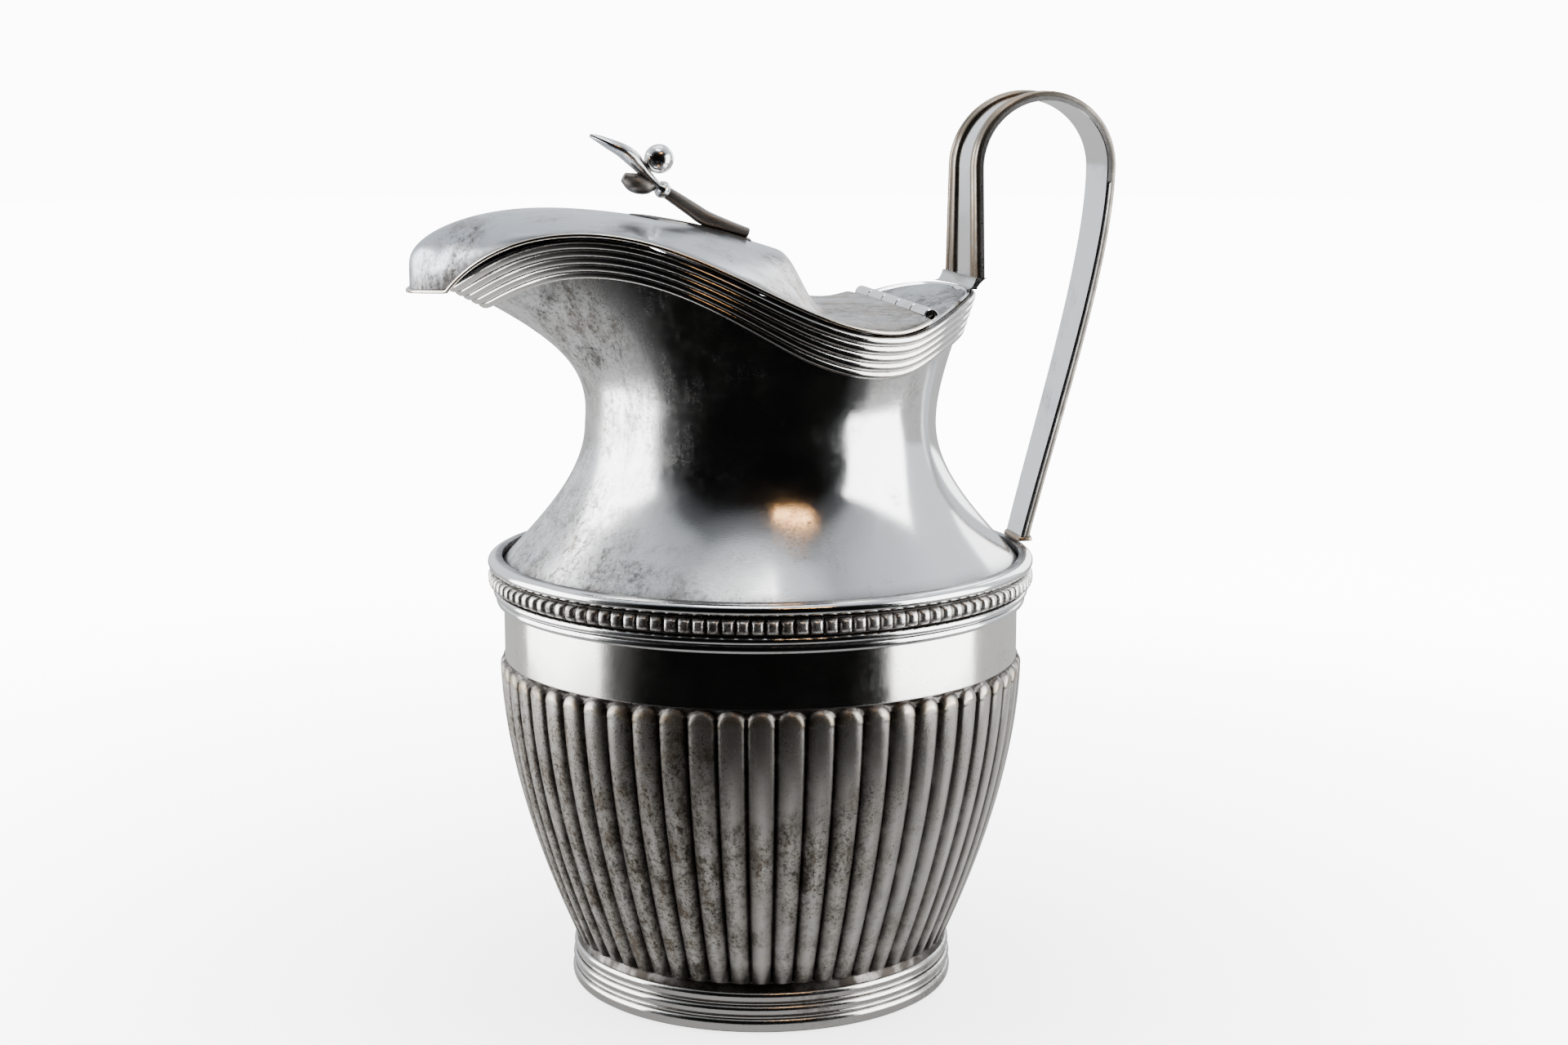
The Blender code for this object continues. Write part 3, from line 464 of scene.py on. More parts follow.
# ---------------------------------------- bowl
# The lower body is raised from sheet. Convex flutes are chased into it from foot to belly, each
# with a rounded head, and the band above them is planished smooth.

FLUTES = 58
BOWL_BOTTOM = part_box("fluted_bowl")[0].z
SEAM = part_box("fluted_bowl")[1].z
FLUTE_TOP = BOWL_BOTTOM + 0.0747
FLUTE_DEPTH = 0.0018
FLUTE_HEAD = 0.0034
BOWL_TAPER = 0.0188
BOWL_RADIUS = 0.0685
BAND_RADIUS = 0.0672


def grimy_side(turns):
    """How tarnished each side is: most by the spout and the front left, least at the right."""
    return 0.5 + 0.5 * np.cos(turns + math.radians(158))


def bowl_radius(height):
    """The radius over the flutes' crests."""
    share = np.clip((FLUTE_TOP - height) / (FLUTE_TOP - BOWL_BOTTOM), 0, 1)
    return BOWL_RADIUS - BOWL_TAPER * share**1.76


def make_bowl():
    """Lobes between dark valleys, each with a rounded head worn to a warm tip."""
    per_flute = 12
    columns = FLUTES * per_flute
    angles = np.arange(columns) * math.tau / columns
    across = np.abs((np.arange(columns) % per_flute) / per_flute * 2 - 1)
    lower = np.linspace(BOWL_BOTTOM, FLUTE_TOP - 0.0065, 46)
    heads = np.linspace(FLUTE_TOP - 0.0062, FLUTE_TOP + 0.0006, 24)
    plain = np.linspace(FLUTE_TOP + 0.0014, SEAM, 9)
    heights = np.concatenate((lower, heads, plain))[:, None]
    crest = bowl_radius(heights)
    lobe = np.sqrt(np.clip(1 - across**2.1, 0, 1)) ** 0.8
    head_line = FLUTE_TOP - FLUTE_HEAD * (1 - np.sqrt(np.clip(1 - across**2, 0, 1)))
    inward = np.clip((head_line - heights) / 0.0026, 0, 1)
    rise = np.sqrt(1 - (1 - inward) ** 2)
    valley = np.minimum(crest - FLUTE_DEPTH, BAND_RADIUS - 0.0001)
    ground = np.where(heights > FLUTE_TOP - 0.004, np.maximum(valley, BAND_RADIUS - 0.0003), valley)
    ground = np.where(heights > FLUTE_TOP - 0.0002, BAND_RADIUS, ground)
    radius = ground + (crest - ground) * lobe * rise
    outer = np.stack((radius * np.cos(angles), radius * np.sin(angles), heights + 0 * radius), -1)
    inner_height = heights[::-2, 0]
    under = np.minimum(bowl_radius(inner_height) - FLUTE_DEPTH, BAND_RADIUS) - WALL
    inner = turn_profile(list(zip(under, inner_height)), columns)
    grid = np.concatenate((outer, inner))
    fluted = heights < FLUTE_TOP + 0.0004
    deep = np.where(fluted, (1 - lobe * rise) ** 1.1, 0)
    just_above = np.clip(1 - np.abs(heights - head_line - 0.0002) / 0.0009, 0, 1) * fluted
    near_foot = np.clip(1 - (heights - BOWL_BOTTOM) / 0.006, 0, 1) * 0.7
    patina_and_shade = np.clip(np.maximum(deep**0.4 * 1.5 - 0.12, just_above * 0.9) + near_foot, 0, 1)
    gilt = np.clip(1 - np.abs(heights - head_line + 0.0020) / 0.0024, 0, 1) * 0.75
    gilt = np.maximum(gilt, 0.16) * (deep < 0.55) * fluted
    blank = np.full((len(inner), columns), 0.2)
    below_heads = np.clip((FLUTE_TOP - heights) / 0.03, 0, 1)
    neglect = np.clip(1.4 * grimy_side(angles) - 0.3, 0, 1) * (0.55 + 0.45 * below_heads)
    layers = {
        "patina_and_shade": np.concatenate((patina_and_shade, blank)),
        "rub": np.concatenate((gilt, blank * 0)),
        "stain": np.concatenate((neglect * fluted + 0.1, blank)),
    }
    faces = ring_faces(grid)
    place_piece("fluted_bowl", grid, faces, bowl_silver, "body", layers, 60)


make_bowl()


# ---------------------------------------- shoulder mouldings
# Three drawn wires cover the seam: a stepped one, a beaded one with square-shouldered beads, and
# a half-round one. All are soldered to the body.

MOULDING_INNER = BAND_RADIUS + 0.0003


def make_lower_moulding():
    low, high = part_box("lower_moulding")
    bottom = low.z
    rise = high.z - low.z
    lip = (high.x - low.x) / 2
    profile = [(MOULDING_INNER, high.z), (MOULDING_INNER, bottom), (lip - 0.0018, bottom)]
    profile += arc((lip - 0.0016, bottom + 0.27 * rise), 0.0009, 0.25 * rise, -80, 80, 9)
    profile += arc((lip - 0.0009, bottom + 0.77 * rise), 0.0009, 0.22 * rise, -80, 80, 9)
    shade = [0.5, 0.5, 0.9] + [0.5] + [0] * 7 + [0.9] + [0.9] + [0] * 7 + [0.7]
    turned_piece("lower_moulding", profile, shade, mirror_silver)


make_lower_moulding()


def make_beads():
    low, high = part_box("bead_strip")
    beads = 124
    per_bead = 10
    columns = beads * per_bead
    angles = np.arange(columns) * math.tau / columns
    across = np.abs((np.arange(columns) % per_bead) / per_bead * 2 - 1) * 1.12
    outer_radius = (high.x - low.x) / 2
    strip_radius = outer_radius - 0.0019
    height = high.z - low.z
    up = np.linspace(-1, 1, 17)[:, None]
    bead = (1 - np.clip(np.abs(up) * 1.16, 0, 1) ** 3.2) * (1 - np.clip(across, 0, 1) ** 3.2)
    radius = strip_radius + (outer_radius - strip_radius) * np.sqrt(np.clip(bead, 0, 1))
    rise = low.z + height * (up + 1) / 2 + 0 * radius
    outer = np.stack((radius * np.cos(angles), radius * np.sin(angles), rise), -1)
    back = turn_profile([(MOULDING_INNER, high.z), (MOULDING_INNER, low.z)], columns)
    grid = np.concatenate((outer, back))
    deep = np.clip(1.1 - 1.5 * np.sqrt(np.clip(bead, 0, 1)), 0, 1)
    patina_and_shade = np.concatenate((deep, np.full((2, columns), 0.8)))
    faces = ring_faces(grid)
    layers = {"patina_and_shade": patina_and_shade, "stain": patina_and_shade * 0 + 0.8}
    place_piece("bead_strip", grid, faces, bowl_silver, "body", layers, 50)


make_beads()


def make_torus():
    low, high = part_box("shoulder_torus")
    half = (high.z - low.z) / 2
    outer = (high.x - low.x) / 2
    profile = [(MOULDING_INNER, high.z), (MOULDING_INNER, low.z)]
    profile += arc((outer - 0.0022, low.z + half), 0.0022, half, -90, 90, 19)
    shade = [1.0, 0.8, 0.9, 0.5] + [0] * 15 + [0.3, 0.8]
    turned_piece("shoulder_torus", profile, shade, mirror_silver)


make_torus()


# ---------------------------------------- upper body
# Shoulder, neck and spout are one shell, raised and drawn forward to a slim nose. Its lower edge
# stands inside the mouldings, and its mouth dips at the sides and sweeps up over the spout.

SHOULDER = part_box("shoulder_torus")[1].z - 0.0017
NECK = SHOULDER + 0.0360
NECK_RADIUS = 0.0456
MOUTH_REAR = 0.0560
MOUTH_HALF_WIDTH = 0.0530
SPOUT_REACH = 0.0815
CREST_TURN = math.radians(129)
CREST_X = SPOUT_REACH * math.cos(CREST_TURN)
DIP_X = 0.45 * MOUTH_REAR
TIP_HEIGHT = NECK + 0.0370
CREST_HEIGHT = NECK + 0.0498
DIP_HEIGHT = NECK + 0.0260
ROOT_HEIGHT = NECK + 0.0338
BAND_WIDTH = 0.0110
SKIN = 0.0017
MOUTH_COLUMNS = 240


def ease(share):
    return (1 - math.cos(math.pi * min(1.0, max(0.0, share)))) / 2


def mouth_plan(angle, inset=0.0):
    reach = (MOUTH_REAR if math.cos(angle) > 0 else SPOUT_REACH) - inset
    across = math.sin(angle)
    slim = 1.0 if math.cos(angle) > 0 else 0.72 + 0.28 * across**2
    return reach * math.cos(angle), (MOUTH_HALF_WIDTH - inset) * across * slim


def rim_height_at(x):
    if x < DIP_X:
        return CREST_HEIGHT + (DIP_HEIGHT - CREST_HEIGHT) * ease((x - CREST_X) / (DIP_X - CREST_X))
    return DIP_HEIGHT + (ROOT_HEIGHT - DIP_HEIGHT) * ease((x - DIP_X) / (MOUTH_REAR - DIP_X))


def rim_height(angle):
    turn = abs(math.remainder(angle, math.tau))
    if turn > CREST_TURN:
        share = (math.pi - turn) / (math.pi - CREST_TURN)
        return TIP_HEIGHT + (CREST_HEIGHT - TIP_HEIGHT) * ease(share)
    return rim_height_at(mouth_plan(turn)[0])


def bezier(corners, share):
    share = np.asarray(share)[..., None]
    first, second, third, last = (np.asarray(corner, float) for corner in corners)
    low = first * (1 - share) ** 3 + second * 3 * share * (1 - share) ** 2
    return low + third * 3 * share**2 * (1 - share) + last * share**3


def flare_corners(angle):
    """Control points of the wall's curve from the neck up to the rim, at one column."""
    way = np.array((math.cos(angle), math.sin(angle)))
    neck = np.array((*(NECK_RADIUS * way), NECK))
    rim = np.array((*mouth_plan(angle, SKIN), rim_height(angle)))
    forward = max(0.0, -way[0]) ** 2
    rise = rim[2] - neck[2]
    out = rim[:2] - neck[:2]
    low = neck + np.array((*(-0.06 * forward * out), rise * (0.30 + 0.13 * forward)))
    sweep = neck[:2] + out * (0.55 - 0.27 * forward)
    high = np.array((*sweep, neck[2] + rise * (0.62 + 0.03 * forward)))
    return neck, low, high, rim


def flare_rows(distances_below_rim=None, shares=None):
    """Rows of the wall between neck and rim, by distance below the rim or by share of the way."""
    columns = []
    for step in range(MOUTH_COLUMNS):
        line = bezier(flare_corners(math.tau * step / MOUTH_COLUMNS), np.linspace(0, 1, 160))
        lengths = np.concatenate(([0], np.cumsum(np.linalg.norm(np.diff(line, axis=0), axis=1))))
        if shares is not None:
            at = np.asarray(shares) * lengths[-1]
        else:
            at = lengths[-1] - np.asarray(distances_below_rim)
        columns.append(np.stack([np.interp(at, lengths, line[:, axis]) for axis in range(3)], -1))
    return np.stack(columns, 1)


def surface_normals(grid):
    round_it = np.roll(grid, -1, axis=1) - np.roll(grid, 1, axis=1)
    up_it = np.gradient(grid, axis=0)
    normal = np.cross(round_it, up_it)
    return normal / np.linalg.norm(normal, axis=2, keepdims=True)


def make_upper_body():
    collar = [(BAND_RADIUS, z) for z in np.linspace(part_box("upper_body")[0].z, SHOULDER, 6)]
    run = BAND_RADIUS - NECK_RADIUS
    rise = NECK - SHOULDER
    corners = (
        (BAND_RADIUS, SHOULDER),
        (BAND_RADIUS - 0.51 * run, SHOULDER + 0.33 * rise),
        (NECK_RADIUS, SHOULDER + 0.64 * rise),
        (NECK_RADIUS, NECK),
    )
    shoulder = bezier(corners, np.linspace(0, 1, 40)[1:])
    turned = turn_profile(collar + [tuple(pair) for pair in shoulder], MOUTH_COLUMNS)
    flare = flare_rows(shares=np.linspace(0, 1, 44)[1:])
    outer = np.concatenate((turned, flare))
    inner = outer - surface_normals(outer) * WALL
    inner[-1, :, 2] = outer[-1, :, 2]
    inner[0, :, 2] = outer[0, :, 2]
    grid = np.concatenate((outer, inner[::-1]))
    seam = np.zeros(grid.shape[:2])
    seam[4:9] = np.array((1.0, 1.0, 0.7, 0.35, 0.12))[:, None]
    faces = ring_faces(grid)
    angles = np.arange(MOUTH_COLUMNS) * math.tau / MOUTH_COLUMNS
    neglect = np.clip(grimy_side(angles + math.radians(10)) * 2.4 - 1.4, 0, 1) + 0 * seam
    layers = {"patina_and_shade": seam, "stain": neglect}
    place_piece("upper_body", grid, faces, mirror_silver, "body", layers)


make_upper_body()


# ---------------------------------------- rim band
# A strip drawn with five reeds, wrapped round the outside of the mouth and soldered. It stiffens
# the lip, and its grooves hold dark polish.


def make_rim_band():
    reeds = 5
    per_reed = 10
    distances = np.linspace(BAND_WIDTH, 0, reeds * per_reed + 1)
    along = (np.arange(reeds * per_reed + 1) % per_reed) / per_reed * 2 - 1
    bulge = np.sqrt(np.clip(1 - np.abs(along) ** 2.4, 0, 1))
    wall = flare_rows(distances)
    normals = surface_normals(wall)
    heights = (0.0010 + (SKIN - 0.0010) * bulge)[:, None, None]
    outer = wall + normals * heights
    inner = (wall + normals * 0.0003)[::-5]
    grid = np.concatenate((outer, inner))
    deep = np.clip(1.05 - 1.5 * bulge, 0, 1)[:, None] + np.zeros((1, MOUTH_COLUMNS))
    patina_and_shade = np.concatenate((deep, np.full((len(inner), MOUTH_COLUMNS), 0.8)))
    faces = ring_faces(grid)
    place_piece("rim_band", grid, faces, satin_silver, "body", {"patina_and_shade": patina_and_shade}, 50)


make_rim_band()


# ---------------------------------------- hinge and rear plate
# The lid turns on five rolled knuckles and one wire pin across the mouth. Behind them a fixed
# plate of sheet fills the mouth up to the handle.

pin_low, pin_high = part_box("hinge_pin")
HINGE_X = (pin_low.x + pin_high.x) / 2 - AXIS.x
HINGE_Z = (pin_low.z + pin_high.z) / 2
KNUCKLE_RADIUS = 0.0019
PIN_RADIUS = 0.00078
BORE_RADIUS = 0.00085
HINGE_COLUMNS = 48


def turn_about_hinge(profile):
    """A grid of points from (radius, y) pairs swung round the hinge line."""
    turns = np.arange(HINGE_COLUMNS) * math.tau / HINGE_COLUMNS
    pairs = np.array(profile, float)
    grid = np.empty((len(pairs), HINGE_COLUMNS, 3))
    grid[..., 0] = HINGE_X + pairs[:, :1] * np.cos(turns)
    grid[..., 1] = pairs[:, 1:2]
    grid[..., 2] = HINGE_Z + pairs[:, :1] * np.sin(turns)
    return grid


def make_knuckles():
    for number, body in ((1, "body"), (2, "body"), (3, "body"), (1, "lid"), (2, "lid")):
        name = f"{body}_knuckle_{number}"
        low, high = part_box(name)
        soft = 0.0003
        profile = [
            (BORE_RADIUS, low.y),
            (KNUCKLE_RADIUS - soft, low.y),
            (KNUCKLE_RADIUS, low.y + soft),
            (KNUCKLE_RADIUS, high.y - soft),
            (KNUCKLE_RADIUS - soft, high.y),
            (BORE_RADIUS, high.y),
        ]
        grid = turn_about_hinge(profile)
        ends = np.repeat((0.4, 0.0, 0.0, 0.0, 0.0, 0.4), HINGE_COLUMNS)
        place_piece(name, grid, ring_faces(grid), satin_silver, body, {"patina_and_shade": ends})


make_knuckles()


def make_pin():
    """A wire with slightly domed ends."""
    rise = 0.0003
    dome = []
    for share in (0.02, 0.4, 0.7, 0.9, 1):
        dome.append((PIN_RADIUS * share, pin_low.y + rise * (1 - math.sqrt(1 - share * share))))
    far = [(r, pin_high.y - (y - pin_low.y)) for r, y in reversed(dome)]
    grid = turn_about_hinge(dome + far)
    layers = {"patina_and_shade": np.full(grid.shape[:2], 0.3)}
    faces = capped_faces(grid)
    place_piece("hinge_pin", grid, faces, dull_silver, "body", layers)


make_pin()


def mouth_half_width(x, inset):
    reach = MOUTH_REAR - inset
    return (MOUTH_HALF_WIDTH - inset) * math.sqrt(max(0.0, 1 - (x / reach) ** 2))


def make_rear_plate():
    """Sheet that dips slightly between the rim's sides."""
    low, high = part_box("rear_plate")
    inset = SKIN + WALL + 0.0006
    front = low.x - AXIS.x
    back = high.x - AXIS.x
    rows = []
    for x in front + (back - front) * np.sin(np.linspace(0, math.pi / 2, 34)):
        half = max(0.0012, mouth_half_width(x, inset) - 0.0003)
        across = np.sin(np.linspace(-math.pi / 2, math.pi / 2, 41))
        sag = 0.0006 * (1 - across**2)
        rows.append([(x, half * y, rim_height_at(x) - s) for y, s in zip(across, sag)])
    top = np.array(rows)
    under = top * (1, 0.985, 1) - (0, 0, WALL)
    grid = np.concatenate((top, under[:, ::-1]), axis=1)
    faces = capped_faces(grid)
    edge = np.clip(np.abs(np.linspace(-1, 1, 41)) * 6 - 5.2, 0, 0.8)
    shade = np.tile(np.concatenate((edge, edge)), len(grid))
    layers = {"patina_and_shade": shade + 0.12, "stain": shade * 0 + 0.8}
    place_piece("rear_plate", grid, faces, lid_silver, "body", layers)


make_rear_plate()


# ---------------------------------------- lid
# The lid is one raised sheet: a hooded beak over the spout, a long low dome and a flat plate at
# the hinge. A thin drawn wire is soldered round its edge.

BEAK_REACH = 0.0908
LID_HALF_WIDTH = 0.0525
LID_ROOM = 0.0010
LID_BACK_X = HINGE_X - KNUCKLE_RADIUS - 0.0003
PLATE_HEIGHT = HINGE_Z + WALL / 2
LID_TIP = TIP_HEIGHT - 0.0014
LID_LIP = LID_TIP + 0.0012
LIP_TURN = math.radians(25)
LID_OVER_RIM = 0.0013
LID_LIFT = 0.0005
LID_CREST = CREST_HEIGHT + LID_OVER_RIM + LID_LIFT
DOME_TOP = LID_CREST + 0.0037
APEX_X = -0.63 * BEAK_REACH
DOME_BACK_X = 0.0040
DOME_BACK_LENGTH = 0.0110
DOME_BACK_BOW = 0.0160
DOME_DROP = 0.0109
NOSE_RISE = 0.0065


def lid_half_width(x, inset=LID_ROOM):
    reach = (BEAK_REACH if x < 0 else MOUTH_REAR) - inset
    across = math.sqrt(max(0.0, 1 - (x / reach) ** 2))
    slim = 0.72 + 0.28 * across**2 if x < 0 else 1.0
    return (LID_HALF_WIDTH - inset) * across * slim


def lid_edge_height(x):
    """The edge lies flat along the beak's lip, then keeps the rim's sweep."""
    if x < CREST_X:
        turn = math.acos(min(1.0, -x / BEAK_REACH))
        if turn < LIP_TURN:
            return LID_TIP + (LID_LIP - LID_TIP) * turn / LIP_TURN
        share = (turn - LIP_TURN) / (math.acos(-CREST_X / BEAK_REACH) - LIP_TURN)
        return LID_CREST - (LID_CREST - LID_LIP) * (1 - share) ** 2
    lift = LID_LIFT * ease((DIP_X - x) / (DIP_X - CREST_X / 3))
    inner_wall = max(0, x) * MOUTH_REAR / (MOUTH_REAR - SKIN - WALL)
    return max(rim_height_at(x), rim_height_at(inner_wall)) + LID_OVER_RIM + lift


def dome_height(x):
    if x < APEX_X:
        nose = BEAK_REACH - LID_ROOM
        low = LID_TIP + NOSE_RISE
        share = min(1.0, (APEX_X - x) / (APEX_X + nose))
        return low + (DOME_TOP - low) * math.sqrt(1 - share**2)
    share = (x - APEX_X) / (DOME_BACK_X - APEX_X)
    dome = DOME_TOP - DOME_DROP * share**1.9
    fall = 1 - ease((x - DOME_BACK_X) / DOME_BACK_LENGTH)
    return PLATE_HEIGHT + (dome - PLATE_HEIGHT) * fall


def lid_height(x, across):
    edge = lid_edge_height(x)
    behind = ease((x - APEX_X) / (DOME_BACK_X - APEX_X))
    crown = max(dome_height(x + DOME_BACK_BOW * across**2 * behind), edge)
    blunt = 0.4 + 0.35 * ease((x + BEAK_REACH) / (APEX_X + BEAK_REACH))
    return edge + (crown - edge) * (1 - min(1.0, across * across)) ** blunt


def make_lid():
    """One sheet from the beak's lip to the hinge, stained behind the dome and at the nose."""
    across = np.sin(np.linspace(-math.pi / 2, math.pi / 2, 81))
    turns = np.radians(np.linspace(0, 90, 46))[:-1]

    def stations(reach):
        nose = -reach * np.cos(turns)
        return np.concatenate((nose, np.linspace(0.0006, LID_BACK_X, 60)))

    outside = stations(BEAK_REACH - LID_ROOM)
    inside = stations(BEAK_REACH - LID_ROOM - WALL)
    top = [[(x, lid_half_width(x) * y, lid_height(x, y)) for y in across] for x in outside]
    under = []
    for x in inside:
        half = lid_half_width(x, LID_ROOM + WALL)
        under.append([(x, half * y, lid_height(x, y) - WALL) for y in across])
    grid = np.concatenate((np.array(top), np.array(under)[:, ::-1]), axis=1)
    wide = grid.shape[1]
    faces = sheet_faces(len(grid), wide, False).tolist()
    faces.append(list(range((len(grid) - 1) * wide, len(grid) * wide)))
    edge = np.clip(np.abs(across) * 12 - 11.3, 0, 0.7)
    shade = np.tile(np.concatenate((edge, edge * 0 + 0.3)), len(grid))
    bow = DOME_BACK_BOW * (grid[..., 1] / LID_HALF_WIDTH) ** 2
    back = np.clip((grid[..., 0] + bow + 0.004) / 0.014, 0, 1)
    nose = np.clip((-0.070 - grid[..., 0]) / 0.012, 0, 0.7)
    layers = {"patina_and_shade": shade, "stain": back + nose, "rub": 0.6 * back}
    place_piece("lid_shell", grid, faces, lid_silver, "lid", layers)


make_lid()


def swept(line, sections):
    """Points of closed sections carried along a line: each is a list of (side, lift) pairs."""
    line = np.array(line, float)
    ahead = np.gradient(line, axis=0)
    ahead /= np.linalg.norm(ahead, axis=1, keepdims=True)
    side = np.cross(ahead, (0, 0, 1))
    side /= np.linalg.norm(side, axis=1, keepdims=True)
    lift = np.cross(side, ahead)
    pairs = np.array(sections, float)
    return line[:, None] + side[:, None] * pairs[..., :1] + lift[:, None] * pairs[..., 1:]


def make_lid_wire():
    radius = 0.0005
    line = []
    for turn in np.radians(np.linspace(180, 40, 150)):
        reach = (BEAK_REACH if math.cos(turn) < 0 else MOUTH_REAR) - radius
        x = reach * math.cos(turn)
        if x > LID_BACK_X - 0.0008:
            break
        line.append((x, lid_half_width(x, radius), lid_edge_height(x) - WALL / 2))
    back_height = lid_edge_height(LID_BACK_X) - WALL / 2
    line.append((LID_BACK_X, lid_half_width(LID_BACK_X, radius), back_height))
    line = [(x, -y, z) for x, y, z in reversed(line[1:])] + line
    turns = np.arange(12) * math.tau / 12
    section = [(radius * math.cos(t), radius * math.sin(t)) for t in turns]
    grid = swept(line, [section] * len(line))
    shade = np.full(grid.size // 3, 0.05)
    faces = capped_faces(grid)
    layers = {"patina_and_shade": shade, "rub": shade + 0.4}
    place_piece("lid_wire", grid, faces, satin_silver, "lid", layers)


make_lid_wire()


# ---------------------------------------- thumbpiece
# A cast scroll that the thumb presses to lift the lid: base plate, foot block and arm, a ring, a
# bright ball, a leaf-shaped blade and a curled tongue under it. All are soldered to the dome.

THUMB_BACK_X = -0.0034
THUMB_PLATE = 0.0008
THUMB_PLATE_LENGTH = 0.0306
ARM_BLOCK = 0.0098
SUNK = -0.00015


def plate_top(x):
    return dome_height(x) + SUNK + THUMB_PLATE


def make_thumb_base():
    """A shaped plate: a block's width at the back, a slim waist, and a leaf in front."""
    stops = (0, 0.22, 0.36, 0.52, 0.66, 0.80, 0.91, 0.97, 1)
    widths = (0.0100, 0.0100, 0.0072, 0.0056, 0.0086, 0.0120, 0.0098, 0.0060, 0.0010)
    across = np.sin(np.linspace(-math.pi / 2, math.pi / 2, 21))
    rows = []
    for share in np.linspace(0, 1, 60):
        x = THUMB_BACK_X - THUMB_PLATE_LENGTH * share
        half = np.interp(share, stops, widths) / 2
        under = [(x, half * y, lid_height(x, half * y / lid_half_width(x)) + SUNK) for y in across]
        lift = THUMB_PLATE * (1 - 0.45 * np.abs(across) ** 4) * (1 - 0.5 * share**6)
        over = [(x, y, z + t) for (x, y, z), t in zip(under, lift)]
        rows.append(under + over[::-1])
    grid = np.array(rows)
    shade = np.full(grid.shape[:2], 0.2)
    # The plate grows darker towards its front leaf.
    shade += np.clip(np.linspace(-1.2, 0.9, len(rows)), 0, 0.7)[:, None]
    faces = capped_faces(grid)
    place_piece("thumb_base", grid, faces, dull_silver, "lid", {"patina_and_shade": shade})


make_thumb_base()


def smooth_line(places, values, steps=9):
    """A smooth curve through places in the XZ plane, with values carried along it."""
    data = np.column_stack((np.array(places, float), np.array(values, float)))
    padded = np.vstack((2 * data[0] - data[1], data, 2 * data[-1] - data[-2]))
    rows = []
    for index in range(1, len(padded) - 2):
        before, start, end, after = padded[index - 1 : index + 3]
        for share in np.linspace(0, 1, steps, endpoint=False):
            cubic = 3 * (start - end) + after - before
            square = 2 * before - 5 * start + 4 * end - after
            bend = square * share**2 + cubic * share**3
            rows.append(start + 0.5 * ((end - before) * share + bend))
    rows.append(padded[-2])
    return np.array(rows)


def make_casting(name, places, widths, depths, material, squareness=2.6, patina_and_shade=0.1, ridge=0.0):
    """A cast piece swept in the XZ plane, with a rounded section of given widths and depths."""
    rows = smooth_line(places, np.column_stack((widths, depths)))
    turns = np.arange(28) * math.tau / 28
    cosine = np.cos(turns)
    sine = np.sin(turns)
    wide = np.sign(cosine) * np.abs(cosine) ** (2 / squareness)
    tall = np.sign(sine) * np.abs(sine) ** (2 / squareness)
    tall = tall + ridge * (1 - np.abs(wide)) ** 2 * (tall > 0)
    ahead = np.gradient(rows[:, :2], axis=0)
    ahead /= np.linalg.norm(ahead, axis=1, keepdims=True)
    grid = np.empty((len(rows), 28, 3))
    grid[..., 0] = rows[:, :1] - ahead[:, 1:] * tall * rows[:, 3:4] / 2
    grid[..., 1] = wide * rows[:, 2:3] / 2
    grid[..., 2] = rows[:, 1:2] + ahead[:, :1] * tall * rows[:, 3:4] / 2
    shade = np.full(grid.shape[:2], patina_and_shade)
    shade += np.linspace(0.5, 0, len(rows))[:, None] ** 2
    layers = {"patina_and_shade": np.clip(shade, 0, 1)}
    place_piece(name, grid, capped_faces(grid), material, "lid", layers, 50)


def from_foot(places):
    """Places given to the right of and above the front top edge of the arm's block."""
    x = THUMB_BACK_X - ARM_BLOCK
    z = plate_top(x) + 0.0003
    return [(x + right, z + up) for right, up in places]


def make_thumb_pieces():
    lying = []
    for share, depth in ((0.04, 0.0026), (0.45, 0.0030), (0.85, 0.0036)):
        x = THUMB_BACK_X - ARM_BLOCK * share
        lying.append((x, plate_top(x) + SUNK + depth / 2))
    arm = lying + from_foot(
        ((-0.0016, 0.0022), (-0.0044, 0.0041), (-0.0080, 0.0065), (-0.0116, 0.0089))
    )
    widths = (0.0088, 0.0086, 0.0078, 0.0066, 0.0058, 0.0054, 0.0050)
    depths = (0.0026, 0.0030, 0.0036, 0.0040, 0.0038, 0.0035, 0.0031)
    make_casting("thumb_arm", arm, widths, depths, dull_silver, 3.0, 0.2)
    collar = from_foot(((-0.0110, 0.0085), (-0.0122, 0.0093), (-0.0134, 0.0101)))
    widths = (0.0054, 0.0070, 0.0054)
    depths = (0.0034, 0.0046, 0.0034)
    make_casting("thumb_collar", collar, widths, depths, mirror_silver, 2.0)
    leaf = from_foot(
        (
            (-0.0129, 0.00977), (-0.0156, 0.0124), (-0.0179, 0.0151), (-0.0200, 0.0174),
            (-0.0226, 0.0193), (-0.0254, 0.0207), (-0.0280, 0.0220), (-0.0306, 0.0231),
        )
    )
    widths = (0.0050, 0.0050, 0.0060, 0.0082, 0.0094, 0.0084, 0.0054, 0.0014)
    depths = (0.0022, 0.0026, 0.0034, 0.0040, 0.0036, 0.0029, 0.0021, 0.0010)
    make_casting("thumb_leaf", leaf, widths, depths, mirror_silver, 2.0, 0.12)
    tongue = from_foot(((-0.0142, 0.0103), (-0.0166, 0.0103), (-0.0196, 0.0112), (-0.0222, 0.0126)))
    widths = (0.0040, 0.0066, 0.0066, 0.0030)
    depths = (0.0022, 0.0044, 0.0050, 0.0026)
    make_casting("thumb_petal", tongue, widths, depths, dull_silver, 2.0, 0.4)


make_thumb_pieces()


